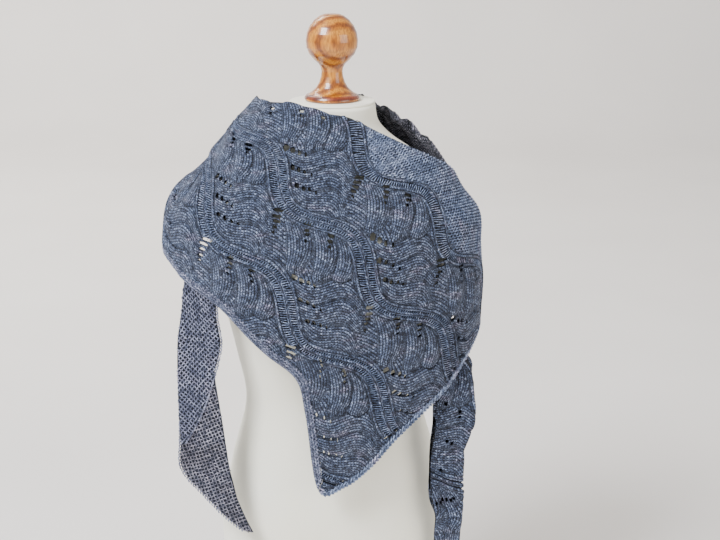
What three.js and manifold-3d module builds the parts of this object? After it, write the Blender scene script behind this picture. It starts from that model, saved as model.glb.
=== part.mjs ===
// A knitted triangle shawl worn over a limbless dress form, in millimetres, +Z up.
// The shawl's front faces -Y and +X is to the right of someone who looks at it.
// The origin is the centre of the underside of the form's round base.
import * as THREE from "three";
import { mergeVertices } from "three/addons/utils/BufferGeometryUtils.js";
import Module from "manifold-3d";

const wasm = await Module();
wasm.setup();

const DEG = Math.PI / 180;

// Cloth
const WALL = 2.6; // thickness of the knitted cloth
const SEAM = 0.35; // space between two pieces that meet
const LAYER = 6.2; // how far an inner layer lies behind the outer one
const RIB_RISE = 2.4; // how proud a wavy spine stands
const LEAF_RISE = 1.5; // how proud the middle of a leaf stands
const ROUNDNESS = 2.3; // 2 would make the draped section an ellipse

// Lace
const REPEAT_ALONG = 166.5; // one wave of a spine
const REPEAT_ACROSS = 107.6; // from one spine to the next
const REPEAT_SHIFT = 30.7; // how far the next spine's wave lags
const WAVE = 18; // how far a spine swings to each side
const SPINE_ANGLE = -48.7 * DEG; // the way the spines run over the front, below level
const LACE_START = { u: -53, v: -45 }; // the steep middle of one spine
const SPINE_HALF = 12.5; // half a spine's width
const LEAF_HALF = 15; // half a leaf's width
const FIRST_SPINE = -1;
const LAST_SPINE = 2; // past this one the cloth is plain garter

// Dress form
const BASE_RADIUS = 140;
const BASE_HEIGHT = 22;
const POLE_RADIUS = 19;
const TORSO_BOTTOM = 95;
const NECK_RADIUS = 57;
const NECK_TOP = 800;
const CAP_HEIGHT = 3;
const JOINT = 0.3; // space between two parts of the form

const COLOURS = {
  lace: 0x7b869f,
  shade: 0x5d6376,
  jersey: 0xf1ecdc,
  ball: 0xb5622a,
};

// A table: named columns, one row for each section or edge point.
function table(columns, rows) {
  return rows.map((row) => Object.fromEntries(columns.map((name, i) => [name, row[i]])));
}

// Half-widths of the draped shawl at each height.
const CAPE = table(
  ["z", "left", "right", "front", "back"],
  [
    [280, 206, 180, 132, 118],
    [380, 212, 190, 138, 122],
    [450, 218, 196, 142, 126],
    [510, 222, 201, 146, 130],
    [560, 226, 203, 147, 132],
    [610, 229, 200, 144, 131],
    [650, 223, 198, 137, 128],
    [680, 209, 176, 127, 122],
    [710, 175, 160, 112, 112],
    [740, 153, 140, 94, 100],
    [770, 131, 116, 78, 86],
    [784, 117, 92, 72, 80],
    [800, 101, 62, 64, 72],
    [806, 92, 50, 58, 66],
  ],
);

// Upper edge of the front, from the left side of the body to the right.
const FRONT_TOP = table(
  ["theta", "z"],
  [
    [-98, 801],
    [-70, 803],
    [-47, 804],
    [-20, 798],
    [2, 788],
    [17, 783],
    [28, 773],
    [46, 756],
    [62, 740],
    [76, 724],
    [98, 697],
  ],
);

// Lower edge of the front: down the left leg of the triangle to its point, then up the right leg.
// Lean is the way that the cloth's lengthwise lines leave the edge, above level.
const FRONT_HEM = table(
  ["theta", "z", "lean"],
  [
    [-98, 600, 90],
    [-86, 598, 88],
    [-75, 593, 82],
    [-65, 573, 70],
    [-51, 549, 64],
    [-39, 510, 60],
    [-31, 487, 60],
    [-18, 455, 62],
    [-14, 405, 66],
    [-8, 297, 68],
    [7, 302, 88],
    [21, 329, 104],
    [34, 369, 112],
    [48, 406, 114],
    [57, 428, 112],
    [67, 459, 106],
    [78, 485, 98],
    [98, 497, 90],
  ],
);
const POINT_ROW = 9; // the row of the triangle's point in FRONT_HEM

// The lace wing that goes over the left shoulder, across the back and up behind the neck.
const LACE_WING = table(
  ["theta", "top", "hem", "out", "ruffle"],
  [
    [-98, 801, 600, 0, 0],
    [-115, 784, 603, 0, 0.6],
    [-135, 771, 612, 0, 1.4],
    [-160, 768, 628, 0, 2],
    [-180, 776, 648, 0, 2.4],
    [-195, 790, 672, 0, 1.6],
    [-212, 799, 697, 0, 0],
    [-222, 795, 711, 0, 3],
    [-232, 789, 721, -0.4, 5],
    [-240, 780, 716, -2.6, 5.4],
    [-248, 771, 704, -3.8, 5],
    [-258, 756, 702, -3.8, 4.2],
    [-268, 738, 699, -3.8, 2.6],
  ],
);
const COLLAR_START = -212;

// The garter wing that goes over the right shoulder and in under the lace wing at the back.
const GARTER_WING = table(
  ["theta", "top", "hem", "out"],
  [
    [98, 697, 497, 0],
    [110, 702, 508, 0],
    [122, 709, 527, 0],
    [128, 713, 540, -0.3],
    [133, 716, 550, -LAYER],
    [145, 725, 575, -LAYER],
    [156, 731, 597, -LAYER],
  ],
);

// The left tail: the outer flap of its fold, and the layer under it that ends in the tip.
const TAIL_FLAP = table(
  ["z", "left", "right"],
  [
    [588, -190, -150],
    [560, -197, -150],
    [529, -200, -151],
    [496, -205, -147],
    [482, -206, -148],
    [448, -207, -157],
    [416, -207, -167],
    [390, -207, -177],
    [364, -206, -190],
    [346, -206, -201],
  ],
);
const TAIL_UNDER = table(
  ["z", "left", "right"],
  [
    [580, -190, -156],
    [500, -201, -157],
    [447, -204, -156],
    [414, -205, -152],
    [378, -205, -147],
    [345, -206, -143],
    [315, -207, -139],
    [293, -196, -134],
    [272, -174, -129],
    [250, -154, -121],
    [232, -140, -114],
    [214, -118, -108],
  ],
);

// The right tail, a strip crumpled in three layers: middle line, half-width and turn to the side.
const RIGHT_TAIL = table(
  ["z", "x", "y", "half", "turn"],
  [
    [512, 163.4, -73, 21, 60],
    [480, 166.4, -72.6, 23, 54],
    [455, 166, -76, 24, 42],
    [430, 166, -81, 24, 26],
    [405, 165, -86, 25, 14],
    [375, 164, -88, 24, 8],
    [345, 156, -89, 21, 0],
    [305, 153, -89, 20, -6],
    [265, 155, -88, 20, 4],
    [238, 158, -87, 15, 0],
    [200, 156, -86, 15, -6],
    [165, 157, -85, 11, 0],
    [138, 158, -84, 5, 0],
  ],
);

// The padded torso of the dress form.
const TORSO = table(
  ["z", "side", "front", "back"],
  [
    [95, 142, 90, 108],
    [102, 150, 96, 114],
    [200, 158, 100, 120],
    [300, 142, 98, 106],
    [385, 122, 92, 92],
    [460, 134, 110, 98],
    [530, 150, 134, 107],
    [572, 160, 143.4, 112],
    [610, 166, 137, 115],
    [650, 172, 122, 115],
    [680, 172.6, 104, 110.4],
    [692, 163, 96, 106],
    [706, 145, 87, 99],
    [730, 112, 74, 84],
    [752, 80, 64, 70],
    [772, 62, 59, 61],
    [796.7, 57, 57, 57],
  ],
);

// Outline of the turned finial, from its foot to its flat top.
const FINIAL = table(
  ["radius", "z"],
  [
    [0, 0],
    [35, 0],
    [37, 3],
    [35.5, 7],
    [28, 12],
    [20, 19],
    [15, 29],
    [14, 38],
    [16.5, 46],
    [23, 53],
    [30, 61],
    [33.8, 70],
    [34.5, 79],
    [33, 89],
    [29, 98],
    [22.5, 106],
    [12, 113.7],
    [0, 113.7],
  ],
);

// A smooth value between the rows of a table, by one of its columns.
function lookup(rows, key, name, at) {
  const last = rows.length - 1;
  const rising = rows[last][key] > rows[0][key];
  const order = (a, b) => (rising ? a < b : a > b);
  if (!order(rows[0][key], at)) return rows[0][name];
  if (!order(at, rows[last][key])) return rows[last][name];
  let i = 0;
  while (order(rows[i + 1][key], at)) i += 1;
  const slope = (k) => {
    const low = rows[Math.max(0, k - 1)];
    const high = rows[Math.min(last, k + 1)];
    return (high[name] - low[name]) / (high[key] - low[key]);
  };
  const span = rows[i + 1][key] - rows[i][key];
  const t = (at - rows[i][key]) / span;
  const s = t * t * (3 - 2 * t);
  const lead = t * (1 - t) * (1 - t) * span * slope(i);
  const tail = t * t * (t - 1) * span * slope(i + 1);
  return rows[i][name] * (1 - s) + rows[i + 1][name] * s + lead + tail;
}

const smooth = (t) => {
  const c = Math.min(1, Math.max(0, t));
  return c * c * (3 - 2 * c);
};

// Radius of a rounded section with four half-widths, in the direction theta from the front.
function sectionRadius(theta, left, right, front, back) {
  const side = Math.abs(Math.sin(theta)) / (Math.sin(theta) < 0 ? left : right);
  const face = Math.abs(Math.cos(theta)) / (Math.cos(theta) > 0 ? front : back);
  return (side ** ROUNDNESS + face ** ROUNDNESS) ** (-1 / ROUNDNESS);
}

function capeRadius(theta, z) {
  const half = (name) => lookup(CAPE, "z", name, z);
  return sectionRadius(theta, half("left"), half("right"), half("front"), half("back"));
}

function polar(radius, theta, z) {
  return new THREE.Vector3(radius * Math.sin(theta), -radius * Math.cos(theta), z);
}

// A point of the draped surface, moved out along its normal.
function capePoint(theta, z, out = 0) {
  const at = polar(capeRadius(theta, z), theta, z);
  if (out === 0) return at;
  const step = 1;
  const turn = step / capeRadius(theta, z);
  const around = polar(capeRadius(theta + turn, z), theta + turn, z)
    .sub(polar(capeRadius(theta - turn, z), theta - turn, z));
  const up = polar(capeRadius(theta, z + step), theta, z + step)
    .sub(polar(capeRadius(theta, z - step), theta, z - step));
  return at.addScaledVector(around.cross(up).normalize(), out);
}

// Lengths along the cloth: u around the body from its front, v up the body from LEVEL.
const LEVEL = 600;
const CHART = { fromTheta: -232, toTheta: 104, turn: 3, fromZ: 280, toZ: 806, rise: 8 };

function measureCloth() {
  const turns = Math.round((CHART.toTheta - CHART.fromTheta) / CHART.turn);
  const rises = Math.ceil((CHART.toZ - CHART.fromZ) / CHART.rise);
  const at = (i, j) => {
    const z = CHART.fromZ + j * CHART.rise;
    return capePoint((CHART.fromTheta + i * CHART.turn) * DEG, z);
  };
  const zero = Math.round(-CHART.fromTheta / CHART.turn);
  const level = Math.round((LEVEL - CHART.fromZ) / CHART.rise);
  const grid = [];
  for (let j = 0; j <= rises; j += 1) {
    grid.push([]);
    for (let i = 0; i <= turns; i += 1) grid[j].push({ at: at(i, j), u: 0, v: 0 });
  }
  for (const row of grid) {
    for (let i = 1; i <= turns; i += 1) row[i].u = row[i - 1].u + row[i].at.distanceTo(row[i - 1].at);
    const middle = row[zero].u;
    for (const cell of row) cell.u -= middle;
  }
  for (let i = 0; i <= turns; i += 1) {
    for (let j = 1; j <= rises; j += 1) {
      grid[j][i].v = grid[j - 1][i].v + grid[j][i].at.distanceTo(grid[j - 1][i].at);
    }
    const middle = grid[level][i].v;
    for (let j = 0; j <= rises; j += 1) grid[j][i].v -= middle;
  }
  return grid;
}
const clothGrid = measureCloth();

function clothPlace(theta, z) {
  const x = (theta / DEG - CHART.fromTheta) / CHART.turn;
  const y = (z - CHART.fromZ) / CHART.rise;
  const i = Math.min(clothGrid[0].length - 2, Math.max(0, Math.floor(x)));
  const j = Math.min(clothGrid.length - 2, Math.max(0, Math.floor(y)));
  const mix = (name) => {
    const low = clothGrid[j][i][name] * (i + 1 - x) + clothGrid[j][i + 1][name] * (x - i);
    const high = clothGrid[j + 1][i][name] * (i + 1 - x) + clothGrid[j + 1][i + 1][name] * (x - i);
    return low * (j + 1 - y) + high * (y - j);
  };
  return { u: mix("u"), v: mix("v") };
}

// The same place measured along the spines and across them.
function lacePlace(u, v) {
  const du = u - LACE_START.u;
  const dv = v - LACE_START.v;
  return {
    along: du * Math.cos(SPINE_ANGLE) + dv * Math.sin(SPINE_ANGLE),
    across: -du * Math.sin(SPINE_ANGLE) + dv * Math.cos(SPINE_ANGLE),
  };
}

// How the form stretches the lace: moves along u and v for each of 1, a, b, aa, ab and bb,
// where a and b are an evenly knitted place's u and v in steps of STRETCH_STEP.
const STRETCH_U = [-3.6, 1.4, -3.4, -0.7, -1.1, 1.5];
const STRETCH_V = [-0.8, 1.4, 2.1, 2.3, -1.5, -2.3];
const STRETCH_STEP = 100;
const STRETCH_REACH = 200; // past this the stretch grows no more
const STRETCH_ROUNDS = 6;

// The draped cloth's place of an evenly knitted place.
function stretched(u, v) {
  const held = (x) => Math.min(STRETCH_REACH, Math.max(-STRETCH_REACH, x)) / STRETCH_STEP;
  const [a, b] = [held(u), held(v)];
  const terms = [1, a, b, a * a, a * b, b * b];
  const move = (shares) => terms.reduce((sum, term, k) => sum + term * shares[k], 0);
  return { u: u + move(STRETCH_U), v: v + move(STRETCH_V) };
}

// The evenly knitted place of a place on the draped cloth, found by closing in on it.
function evenPlace(place) {
  let { u, v } = place;
  for (let k = 0; k < STRETCH_ROUNDS; k += 1) {
    const at = stretched(u, v);
    u += place.u - at.u;
    v += place.v - at.v;
  }
  return { u, v };
}

const spineMiddle = (along, n) =>
  n * REPEAT_ACROSS - WAVE * Math.sin((2 * Math.PI * (along - n * REPEAT_SHIFT)) / REPEAT_ALONG);

// Distance across the cloth to the nearest spine, and which spine that is.
function nearestSpine(along, across) {
  let best = { distance: Infinity, n: 0 };
  for (let n = FIRST_SPINE; n <= LAST_SPINE; n += 1) {
    const step = 1;
    const slope = (spineMiddle(along + step, n) - spineMiddle(along - step, n)) / (2 * step);
    const distance = (across - spineMiddle(along, n)) / Math.hypot(1, slope);
    if (Math.abs(distance) < Math.abs(best.distance)) best = { distance, n };
  }
  return best;
}

// Middle lines of the six leaves of one repeat, from the steep middle of its spine:
// three lie nearly level beside the spine, three hang under its shallow stretch.
const LEAVES = table(
  ["u0", "v0", "u1", "v1"],
  [
    [16, 27, 84, 16],
    [22, -2, 82, -12],
    [28, -28, 74, -46],
    [26, -66, 26, -114],
    [60, -78, 58, -124],
    [86, -88, 83, -130],
  ],
);
// Columns of holes at the heads of the leaves: first hole, step to the next, how many, size.
const EYELETS = table(
  ["u", "v", "du", "dv", "count", "wide", "high"],
  [
    [9.5, 42, 8.5, -4, 1, 7, 9],
    [18, 13, 8, -4, 1, 5.2, 7],
    [24, -13, 8, -3, 1, 5.4, 6.6],
    [2.5, -48, -2.3, -6.9, 2, 15.5, 4.6],
    [38, -65, -0.6, -6.6, 2, 10, 4.2],
    [67, -78.5, -1, -6.6, 1, 10, 4.2],
  ],
);

const repeatOrigin = (i, n) => ({
  u: LACE_START.u + (i * REPEAT_ALONG + n * REPEAT_SHIFT) * Math.cos(SPINE_ANGLE)
    - n * REPEAT_ACROSS * Math.sin(SPINE_ANGLE),
  v: LACE_START.v + (i * REPEAT_ALONG + n * REPEAT_SHIFT) * Math.sin(SPINE_ANGLE)
    + n * REPEAT_ACROSS * Math.cos(SPINE_ANGLE),
});

// Every repeat whose leaves can reach a place.
function repeatsNear(place) {
  const { along, across } = lacePlace(place.u, place.v);
  const n0 = Math.floor(across / REPEAT_ACROSS);
  const found = [];
  for (let n = Math.max(FIRST_SPINE, n0 - 1); n <= Math.min(LAST_SPINE, n0 + 2); n += 1) {
    const i0 = Math.round((along - n * REPEAT_SHIFT) / REPEAT_ALONG);
    for (let i = i0 - 1; i <= i0 + 1; i += 1) found.push(repeatOrigin(i, n));
  }
  return found;
}

function distanceToLine(place, u0, v0, u1, v1) {
  const lengthSquared = (u1 - u0) ** 2 + (v1 - v0) ** 2;
  const t = ((place.u - u0) * (u1 - u0) + (place.v - v0) * (v1 - v0)) / lengthSquared;
  const c = Math.min(1, Math.max(0, t));
  return Math.hypot(place.u - u0 - c * (u1 - u0), place.v - v0 - c * (v1 - v0));
}

function leafRise(place) {
  let nearest = Infinity;
  for (const origin of repeatsNear(place)) {
    for (const leaf of LEAVES) {
      const distance = distanceToLine(
        place,
        origin.u + leaf.u0,
        origin.v + leaf.v0,
        origin.u + leaf.u1,
        origin.v + leaf.v1,
      );
      nearest = Math.min(nearest, distance);
    }
  }
  return LEAF_RISE * Math.max(0, 1 - (nearest / LEAF_HALF) ** 2);
}

// How proud the knitting stands at a place of the cloth.
function laceRise(place) {
  const even = evenPlace(place);
  const { along, across } = lacePlace(even.u, even.v);
  const spine = nearestSpine(along, across);
  if (spine.n === LAST_SPINE && spine.distance > 0) {
    return RIB_RISE * smooth((SPINE_HALF - spine.distance) / 4);
  }
  const beside = smooth((SPINE_HALF - Math.abs(spine.distance)) / 4);
  return beside * RIB_RISE + (1 - beside) * leafRise(even);
}

// Triangles of a grid of points, turned so that its outside is seen with rows going down.
function gridFaces(faces, columns, rows, index, flip) {
  for (let j = 0; j < rows; j += 1) {
    for (let i = 0; i < columns; i += 1) {
      const [a, b] = [index(i, j), index(i + 1, j)];
      const [c, d] = [index(i + 1, j + 1), index(i, j + 1)];
      if (flip) faces.push(a, b, c, a, c, d);
      else faces.push(a, c, b, a, d, c);
    }
  }
}

// Faces between a fine edge and a coarse one that has every step-th of its points.
function rimFaces(faces, fine, coarse, step, flip) {
  const add = (a, b, c) => faces.push(...(flip ? [a, c, b] : [a, b, c]));
  for (let k = 0; k + 1 < coarse.length; k += 1) {
    for (let i = k * step; i < (k + 1) * step; i += 1) add(fine[i], fine[i + 1], coarse[k]);
    add(fine[(k + 1) * step], coarse[k + 1], coarse[k]);
  }
}

// A closed wall: a fine outer sheet, a plain inner sheet on every step-th row, and the rims.
function wall(columns, rows, step, outerPoint, innerPoint) {
  const points = [];
  const faces = [];
  const outer = (i, j) => j * (columns + 1) + i;
  for (let j = 0; j <= rows; j += 1) {
    for (let i = 0; i <= columns; i += 1) points.push(outerPoint(i / columns, j / rows));
  }
  const start = points.length;
  const down = rows / step;
  const inner = (i, j) => start + j * (columns + 1) + i;
  for (let j = 0; j <= down; j += 1) {
    for (let i = 0; i <= columns; i += 1) points.push(innerPoint(i / columns, j / down));
  }
  gridFaces(faces, columns, rows, outer, false);
  gridFaces(faces, columns, down, inner, true);
  const run = (count, place) => Array.from({ length: count + 1 }, (_, k) => place(k));
  rimFaces(faces, run(columns, (i) => outer(i, 0)), run(columns, (i) => inner(i, 0)), 1, false);
  rimFaces(faces, run(columns, (i) => outer(i, rows)), run(columns, (i) => inner(i, down)), 1, true);
  rimFaces(faces, run(rows, (j) => outer(0, j)), run(down, (j) => inner(0, j)), step, true);
  rimFaces(faces, run(rows, (j) => outer(columns, j)), run(down, (j) => inner(columns, j)), step, false);
  return geometryOf(points, faces);
}

function geometryOf(points, faces) {
  const geometry = new THREE.BufferGeometry();
  geometry.setAttribute(
    "position",
    new THREE.Float32BufferAttribute(points.flatMap((p) => [p.x, p.y, p.z]), 3),
  );
  geometry.setIndex(faces);
  return geometry;
}

function solidOf(geometry) {
  const merged = geometry.clone();
  merged.deleteAttribute("normal");
  merged.deleteAttribute("uv");
  const closed = mergeVertices(merged, 1e-4);
  return new wasm.Manifold(
    new wasm.Mesh({
      numProp: 3,
      vertProperties: closed.attributes.position.array,
      triVerts: new Uint32Array(closed.index.array),
    }),
  );
}

function geometryFromSolid(solid) {
  const mesh = solid.getMesh();
  const geometry = new THREE.BufferGeometry();
  geometry.setAttribute("position", new THREE.BufferAttribute(mesh.vertProperties, 3));
  geometry.setIndex(new THREE.BufferAttribute(mesh.triVerts, 1));
  return geometry;
}

function named(name, geometry, colour, roughness) {
  const shown = geometry.toNonIndexed();
  shown.computeVertexNormals();
  const material = new THREE.MeshStandardMaterial({ color: colour, roughness, metalness: 0 });
  const mesh = new THREE.Mesh(shown, material);
  mesh.name = name;
  return mesh;
}

// Places that are evenly spaced along a stretch of one of the front's edges.
function evenEdge(rows, from, to) {
  const numbered = rows.map((row, i) => ({ ...row, i }));
  const read = (name, at) => lookup(numbered, "i", name, at);
  const pieces = 12;
  const samples = [];
  for (let k = from * pieces; k <= to * pieces; k += 1) {
    const at = k / pieces;
    const [theta, z] = [read("theta", at) * DEG, read("z", at)];
    const lean = "lean" in rows[0] ? read("lean", at) * DEG : 0;
    const point = capePoint(theta, z);
    const before = samples[samples.length - 1];
    const length = before ? before.length + point.distanceTo(before.point) : 0;
    samples.push({ theta, z, lean, point, length });
  }
  return (t) => {
    const want = t * samples[samples.length - 1].length;
    let k = 0;
    while (k < samples.length - 2 && samples[k + 1].length < want) k += 1;
    const [a, b] = [samples[k], samples[k + 1]];
    const s = (want - a.length) / (b.length - a.length);
    const mix = (name) => a[name] + (b[name] - a[name]) * s;
    const slope = Math.atan2(b.z - a.z, (b.theta - a.theta) * capeRadius(a.theta, a.z));
    return { theta: mix("theta"), z: mix("z"), lean: mix("lean"), slope };
  };
}

const FRONT_COLUMNS = 60;
const POINT_COLUMN = 34; // the column that ends at the triangle's point
const POINT_SHARE = POINT_COLUMN / FRONT_COLUMNS;
const TOP_MIDDLE = 5; // the row of FRONT_TOP above the triangle's point
const HEM_PULL = 0.4; // how long the lengthwise lines keep their lean
const BAND_GAP = 0.03; // share of a column left open at the end of a band
const EDGING_WIDTH = 12; // the garter edging of the left leg
const BRAID_WIDTH = 8; // the braided edge of the right leg
const EDGE_CHANGE = 0.04; // share of the front over which the edging's width changes

const topLeft = evenEdge(FRONT_TOP, 0, TOP_MIDDLE);
const topRight = evenEdge(FRONT_TOP, TOP_MIDDLE, FRONT_TOP.length - 1);
const hemLeft = evenEdge(FRONT_HEM, 0, POINT_ROW);
const hemRight = evenEdge(FRONT_HEM, POINT_ROW, FRONT_HEM.length - 1);

// One lengthwise line of the front: its top, its bend and its end at the hem.
function frontLine(share) {
  const left = share <= POINT_SHARE;
  const t = left ? share / POINT_SHARE : (share - POINT_SHARE) / (1 - POINT_SHARE);
  const top = left ? topLeft(t) : topRight(t);
  const hem = left ? hemLeft(t) : hemRight(t);
  const length = capePoint(top.theta, top.z).distanceTo(capePoint(hem.theta, hem.z));
  const bend = {
    theta: hem.theta + (HEM_PULL * length * Math.cos(hem.lean)) / capeRadius(hem.theta, hem.z),
    z: hem.z + HEM_PULL * length * Math.sin(hem.lean),
  };
  return { top, bend, hem, length };
}

function frontPlace(line, down) {
  const mix = (name) =>
    (1 - down) ** 2 * line.top[name] + 2 * down * (1 - down) * line.bend[name] + down ** 2 * line.hem[name];
  return { theta: mix("theta"), z: mix("z") };
}

// The share of a line, from its end, that covers a width measured square to the hem.
function hemShare(line, width) {
  const square = Math.max(0.45, Math.abs(Math.sin(line.hem.lean - line.hem.slope)));
  return width / square / (2 * HEM_PULL * line.length);
}

// The width of the edging, which changes over close to the triangle's point.
const edgeWidth = (share) => {
  const blend = smooth((share - POINT_SHARE) / EDGE_CHANGE + 0.5);
  return EDGING_WIDTH + (BRAID_WIDTH - EDGING_WIDTH) * blend;
};

// How far down the front's own panel goes before its edging starts.
const panelShare = (line, share) => 1 - hemShare(line, edgeWidth(share) + SEAM);

// A cutter for one hole: a slanted four-sided bar that passes through the cloth.
function eyeletCutter(theta, z, wide, high) {
  const reach = 7;
  const middle = capePoint(theta, z, 0);
  const out = capePoint(theta, z, 1).sub(middle).normalize();
  const side = new THREE.Vector3(Math.cos(theta), Math.sin(theta), 0);
  side.addScaledVector(out, -side.dot(out)).normalize();
  const up = out.clone().cross(side).normalize();
  const corners = [
    [-0.5, -0.2],
    [0.25, -0.5],
    [0.5, 0.2],
    [-0.25, 0.5],
  ];
  const points = [];
  for (const depth of [-reach, reach]) {
    for (const [x, y] of corners) {
      const corner = middle.clone().addScaledVector(out, depth);
      points.push(corner.addScaledVector(side, x * wide).addScaledVector(up, y * high));
    }
  }
  const faces = [];
  const n = corners.length;
  for (let k = 0; k < n; k += 1) {
    const next = (k + 1) % n;
    faces.push(k, next, n + next, k, n + next, n + k);
    if (k > 0 && k < n - 1) faces.push(0, k + 1, k, n, n + k, n + k + 1);
  }
  return solidOf(geometryOf(points, faces));
}

const SEARCH_STEPS = 24;
const SEARCH_PACE = 0.8;
const REPEATS_EACH_WAY = 5;
const EYELET_SHRINK = 0.16; // how much smaller each next hole of a column is

// The angle and height of a place of the cloth, found by closing in on it.
function bodyPlace(u, v) {
  let theta = 0;
  let z = LEVEL;
  for (let k = 0; k < SEARCH_STEPS; k += 1) {
    const found = clothPlace(theta, z);
    theta += (u - found.u) / capeRadius(theta, z);
    z = Math.min(CHART.toZ, Math.max(CHART.fromZ, z + (v - found.v) * SEARCH_PACE));
  }
  const end = clothPlace(theta, z);
  return { theta, z, miss: Math.hypot(end.u - u, end.v - v) };
}

// Every hole of the lace: its place on the body and its size.
function eyelets() {
  const holes = [];
  for (let n = FIRST_SPINE; n <= LAST_SPINE; n += 1) {
    for (let i = -REPEATS_EACH_WAY; i <= REPEATS_EACH_WAY; i += 1) {
      const origin = repeatOrigin(i, n);
      for (const column of EYELETS) {
        for (let k = 0; k < column.count; k += 1) {
          const at = stretched(origin.u + column.u + k * column.du, origin.v + column.v + k * column.dv);
          const size = 1 - EYELET_SHRINK * k;
          holes.push({ ...bodyPlace(at.u, at.v), wide: column.wide * size, high: column.high * size });
        }
      }
    }
  }
  return holes.filter((hole) => hole.miss < 1);
}

// Cuts the eyelets whose place passes a test.
function cutEyelets(geometry, inside) {
  const cutters = eyelets()
    .filter(inside)
    .map(({ theta, z, wide, high }) => eyeletCutter(theta, z, wide, high));
  return geometryFromSolid(solidOf(geometry).subtract(wasm.Manifold.union(cutters)));
}

const garterSide = (place) => {
  const even = evenPlace(place);
  const { along, across } = lacePlace(even.u, even.v);
  return across > spineMiddle(along, LAST_SPINE);
};

const EYELET_MARGIN = 8; // the least cloth between a hole and an edge
const SEAM_MARGIN = 4; // degrees of whole cloth beside a seam
const COLLAR_MARGIN = 12; // degrees of whole cloth beside the collar

// The height of the hem under a direction.
function hemHeight(theta) {
  const at = theta / DEG;
  const k = FRONT_HEM.findIndex((row, i) => i > 0 && at <= row.theta);
  const [a, b] = [FRONT_HEM[k - 1], FRONT_HEM[k]];
  return a.z + ((b.z - a.z) * (at - a.theta)) / (b.theta - a.theta);
}

function frontPanel() {
  const rows = 32;
  const innerEvery = 4;
  const place = (share, down) => {
    const line = frontLine(share);
    return frontPlace(line, down * panelShare(line, share));
  };
  const sheet = (out) => (share, down) => {
    const { theta, z } = place(share, down);
    return capePoint(theta, z, out(theta, z));
  };
  const outer = sheet((theta, z) => laceRise(clothPlace(theta, z)));
  const inner = sheet(() => -WALL);
  const hem = Array.from({ length: 4 * FRONT_COLUMNS + 1 }, (_, k) => inner(k / (4 * FRONT_COLUMNS), 1));
  const seam = (FRONT_HEM[FRONT_HEM.length - 1].theta - SEAM_MARGIN) * DEG;
  const inside = ({ theta, z }) => {
    if (Math.abs(theta) > seam || z < hemHeight(theta) + EYELET_MARGIN) return false;
    if (z > lookup(FRONT_TOP, "theta", "z", theta / DEG) - EYELET_MARGIN) return false;
    if (garterSide(clothPlace(theta, z))) return false;
    const here = capePoint(theta, z);
    return hem.every((edge) => edge.distanceTo(here) > EYELET_MARGIN);
  };
  const geometry = wall(FRONT_COLUMNS, rows, innerEvery, outer, inner);
  return named("shawl_front", cutEyelets(geometry, inside), COLOURS.lace, 0.9);
}

// A band along the hem of the front, on the panel's own columns, with a rounded section.
function hemBand(name, from, to, width, rise) {
  const section = table(
    ["down", "out"],
    [
      [0, -WALL],
      [0, 0.4],
      [0.35, rise],
      [0.8, rise],
      [1, -0.4],
      [0.7, -WALL - 0.2],
    ],
  );
  const points = [];
  const faces = [];
  const n = section.length;
  const columns = to - from;
  for (let c = 0; c <= columns; c += 1) {
    const end = c === 0 ? BAND_GAP : c === columns ? -BAND_GAP : 0;
    const share = (from + c + end) / FRONT_COLUMNS;
    const line = frontLine(share);
    for (const { down, out } of section) {
      const { theta, z } = frontPlace(line, 1 - hemShare(line, width(share) * (1 - down)));
      points.push(capePoint(theta, z, out));
    }
  }
  for (let c = 0; c < columns; c += 1) {
    for (let k = 0; k < n; k += 1) {
      const next = (k + 1) % n;
      const [a, b, d, e] = [c * n + k, c * n + next, (c + 1) * n + next, (c + 1) * n + k];
      faces.push(a, b, d, a, d, e);
    }
  }
  for (let k = 1; k < n - 1; k += 1) {
    faces.push(0, k + 1, k);
    faces.push(columns * n, columns * n + k, columns * n + k + 1);
  }
  return named(name, geometryOf(points, faces), COLOURS.lace, 0.9);
}

const RUFFLE_TURN = 15; // degrees from one fold of the ruffle to the next
const RUFFLE_FADE = 0.85; // how much shallower the folds are at the lower edge
const RUFFLE_DRIFT = { size: 0.25, rate: 3.1 }; // makes the folds unevenly spaced

// Distance of the lace wing from the body's surface, with soft upright folds behind the neck.
function wingOut(theta, down) {
  const depth = lookup(LACE_WING, "theta", "ruffle", theta / DEG) * (1 - RUFFLE_FADE * down);
  const turns = theta / DEG / RUFFLE_TURN + RUFFLE_DRIFT.size * Math.sin(theta * RUFFLE_DRIFT.rate);
  const fold = depth * (Math.sin(2 * Math.PI * turns) - 1);
  return lookup(LACE_WING, "theta", "out", theta / DEG) + fold;
}

// A stretch of one wing between two directions, a seam's width from the piece it starts at.
function wingStretch({ columns, rows, from, to, seam, edges, out, rise }) {
  const innerEvery = 2;
  const sheet = (proud) => (share, down) => {
    const theta = (from + (to - from) * share) * DEG;
    const top = lookup(edges, "theta", "top", theta / DEG);
    const z = top + (lookup(edges, "theta", "hem", theta / DEG) - top) * down;
    const shift = share === 0 ? (Math.sign(to - from) * seam) / capeRadius(theta, z) : 0;
    return capePoint(theta + shift, z, out(theta, down) + proud(theta, z));
  };
  return wall(columns, rows, innerEvery, sheet(rise), sheet(() => -WALL));
}

// Turns a wall's faces round, for one that runs the other way round the body.
function turned(geometry) {
  const index = Array.from(geometry.index.array);
  for (let k = 0; k < index.length; k += 3) [index[k + 1], index[k + 2]] = [index[k + 2], index[k + 1]];
  geometry.setIndex(index);
  return geometry;
}

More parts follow.
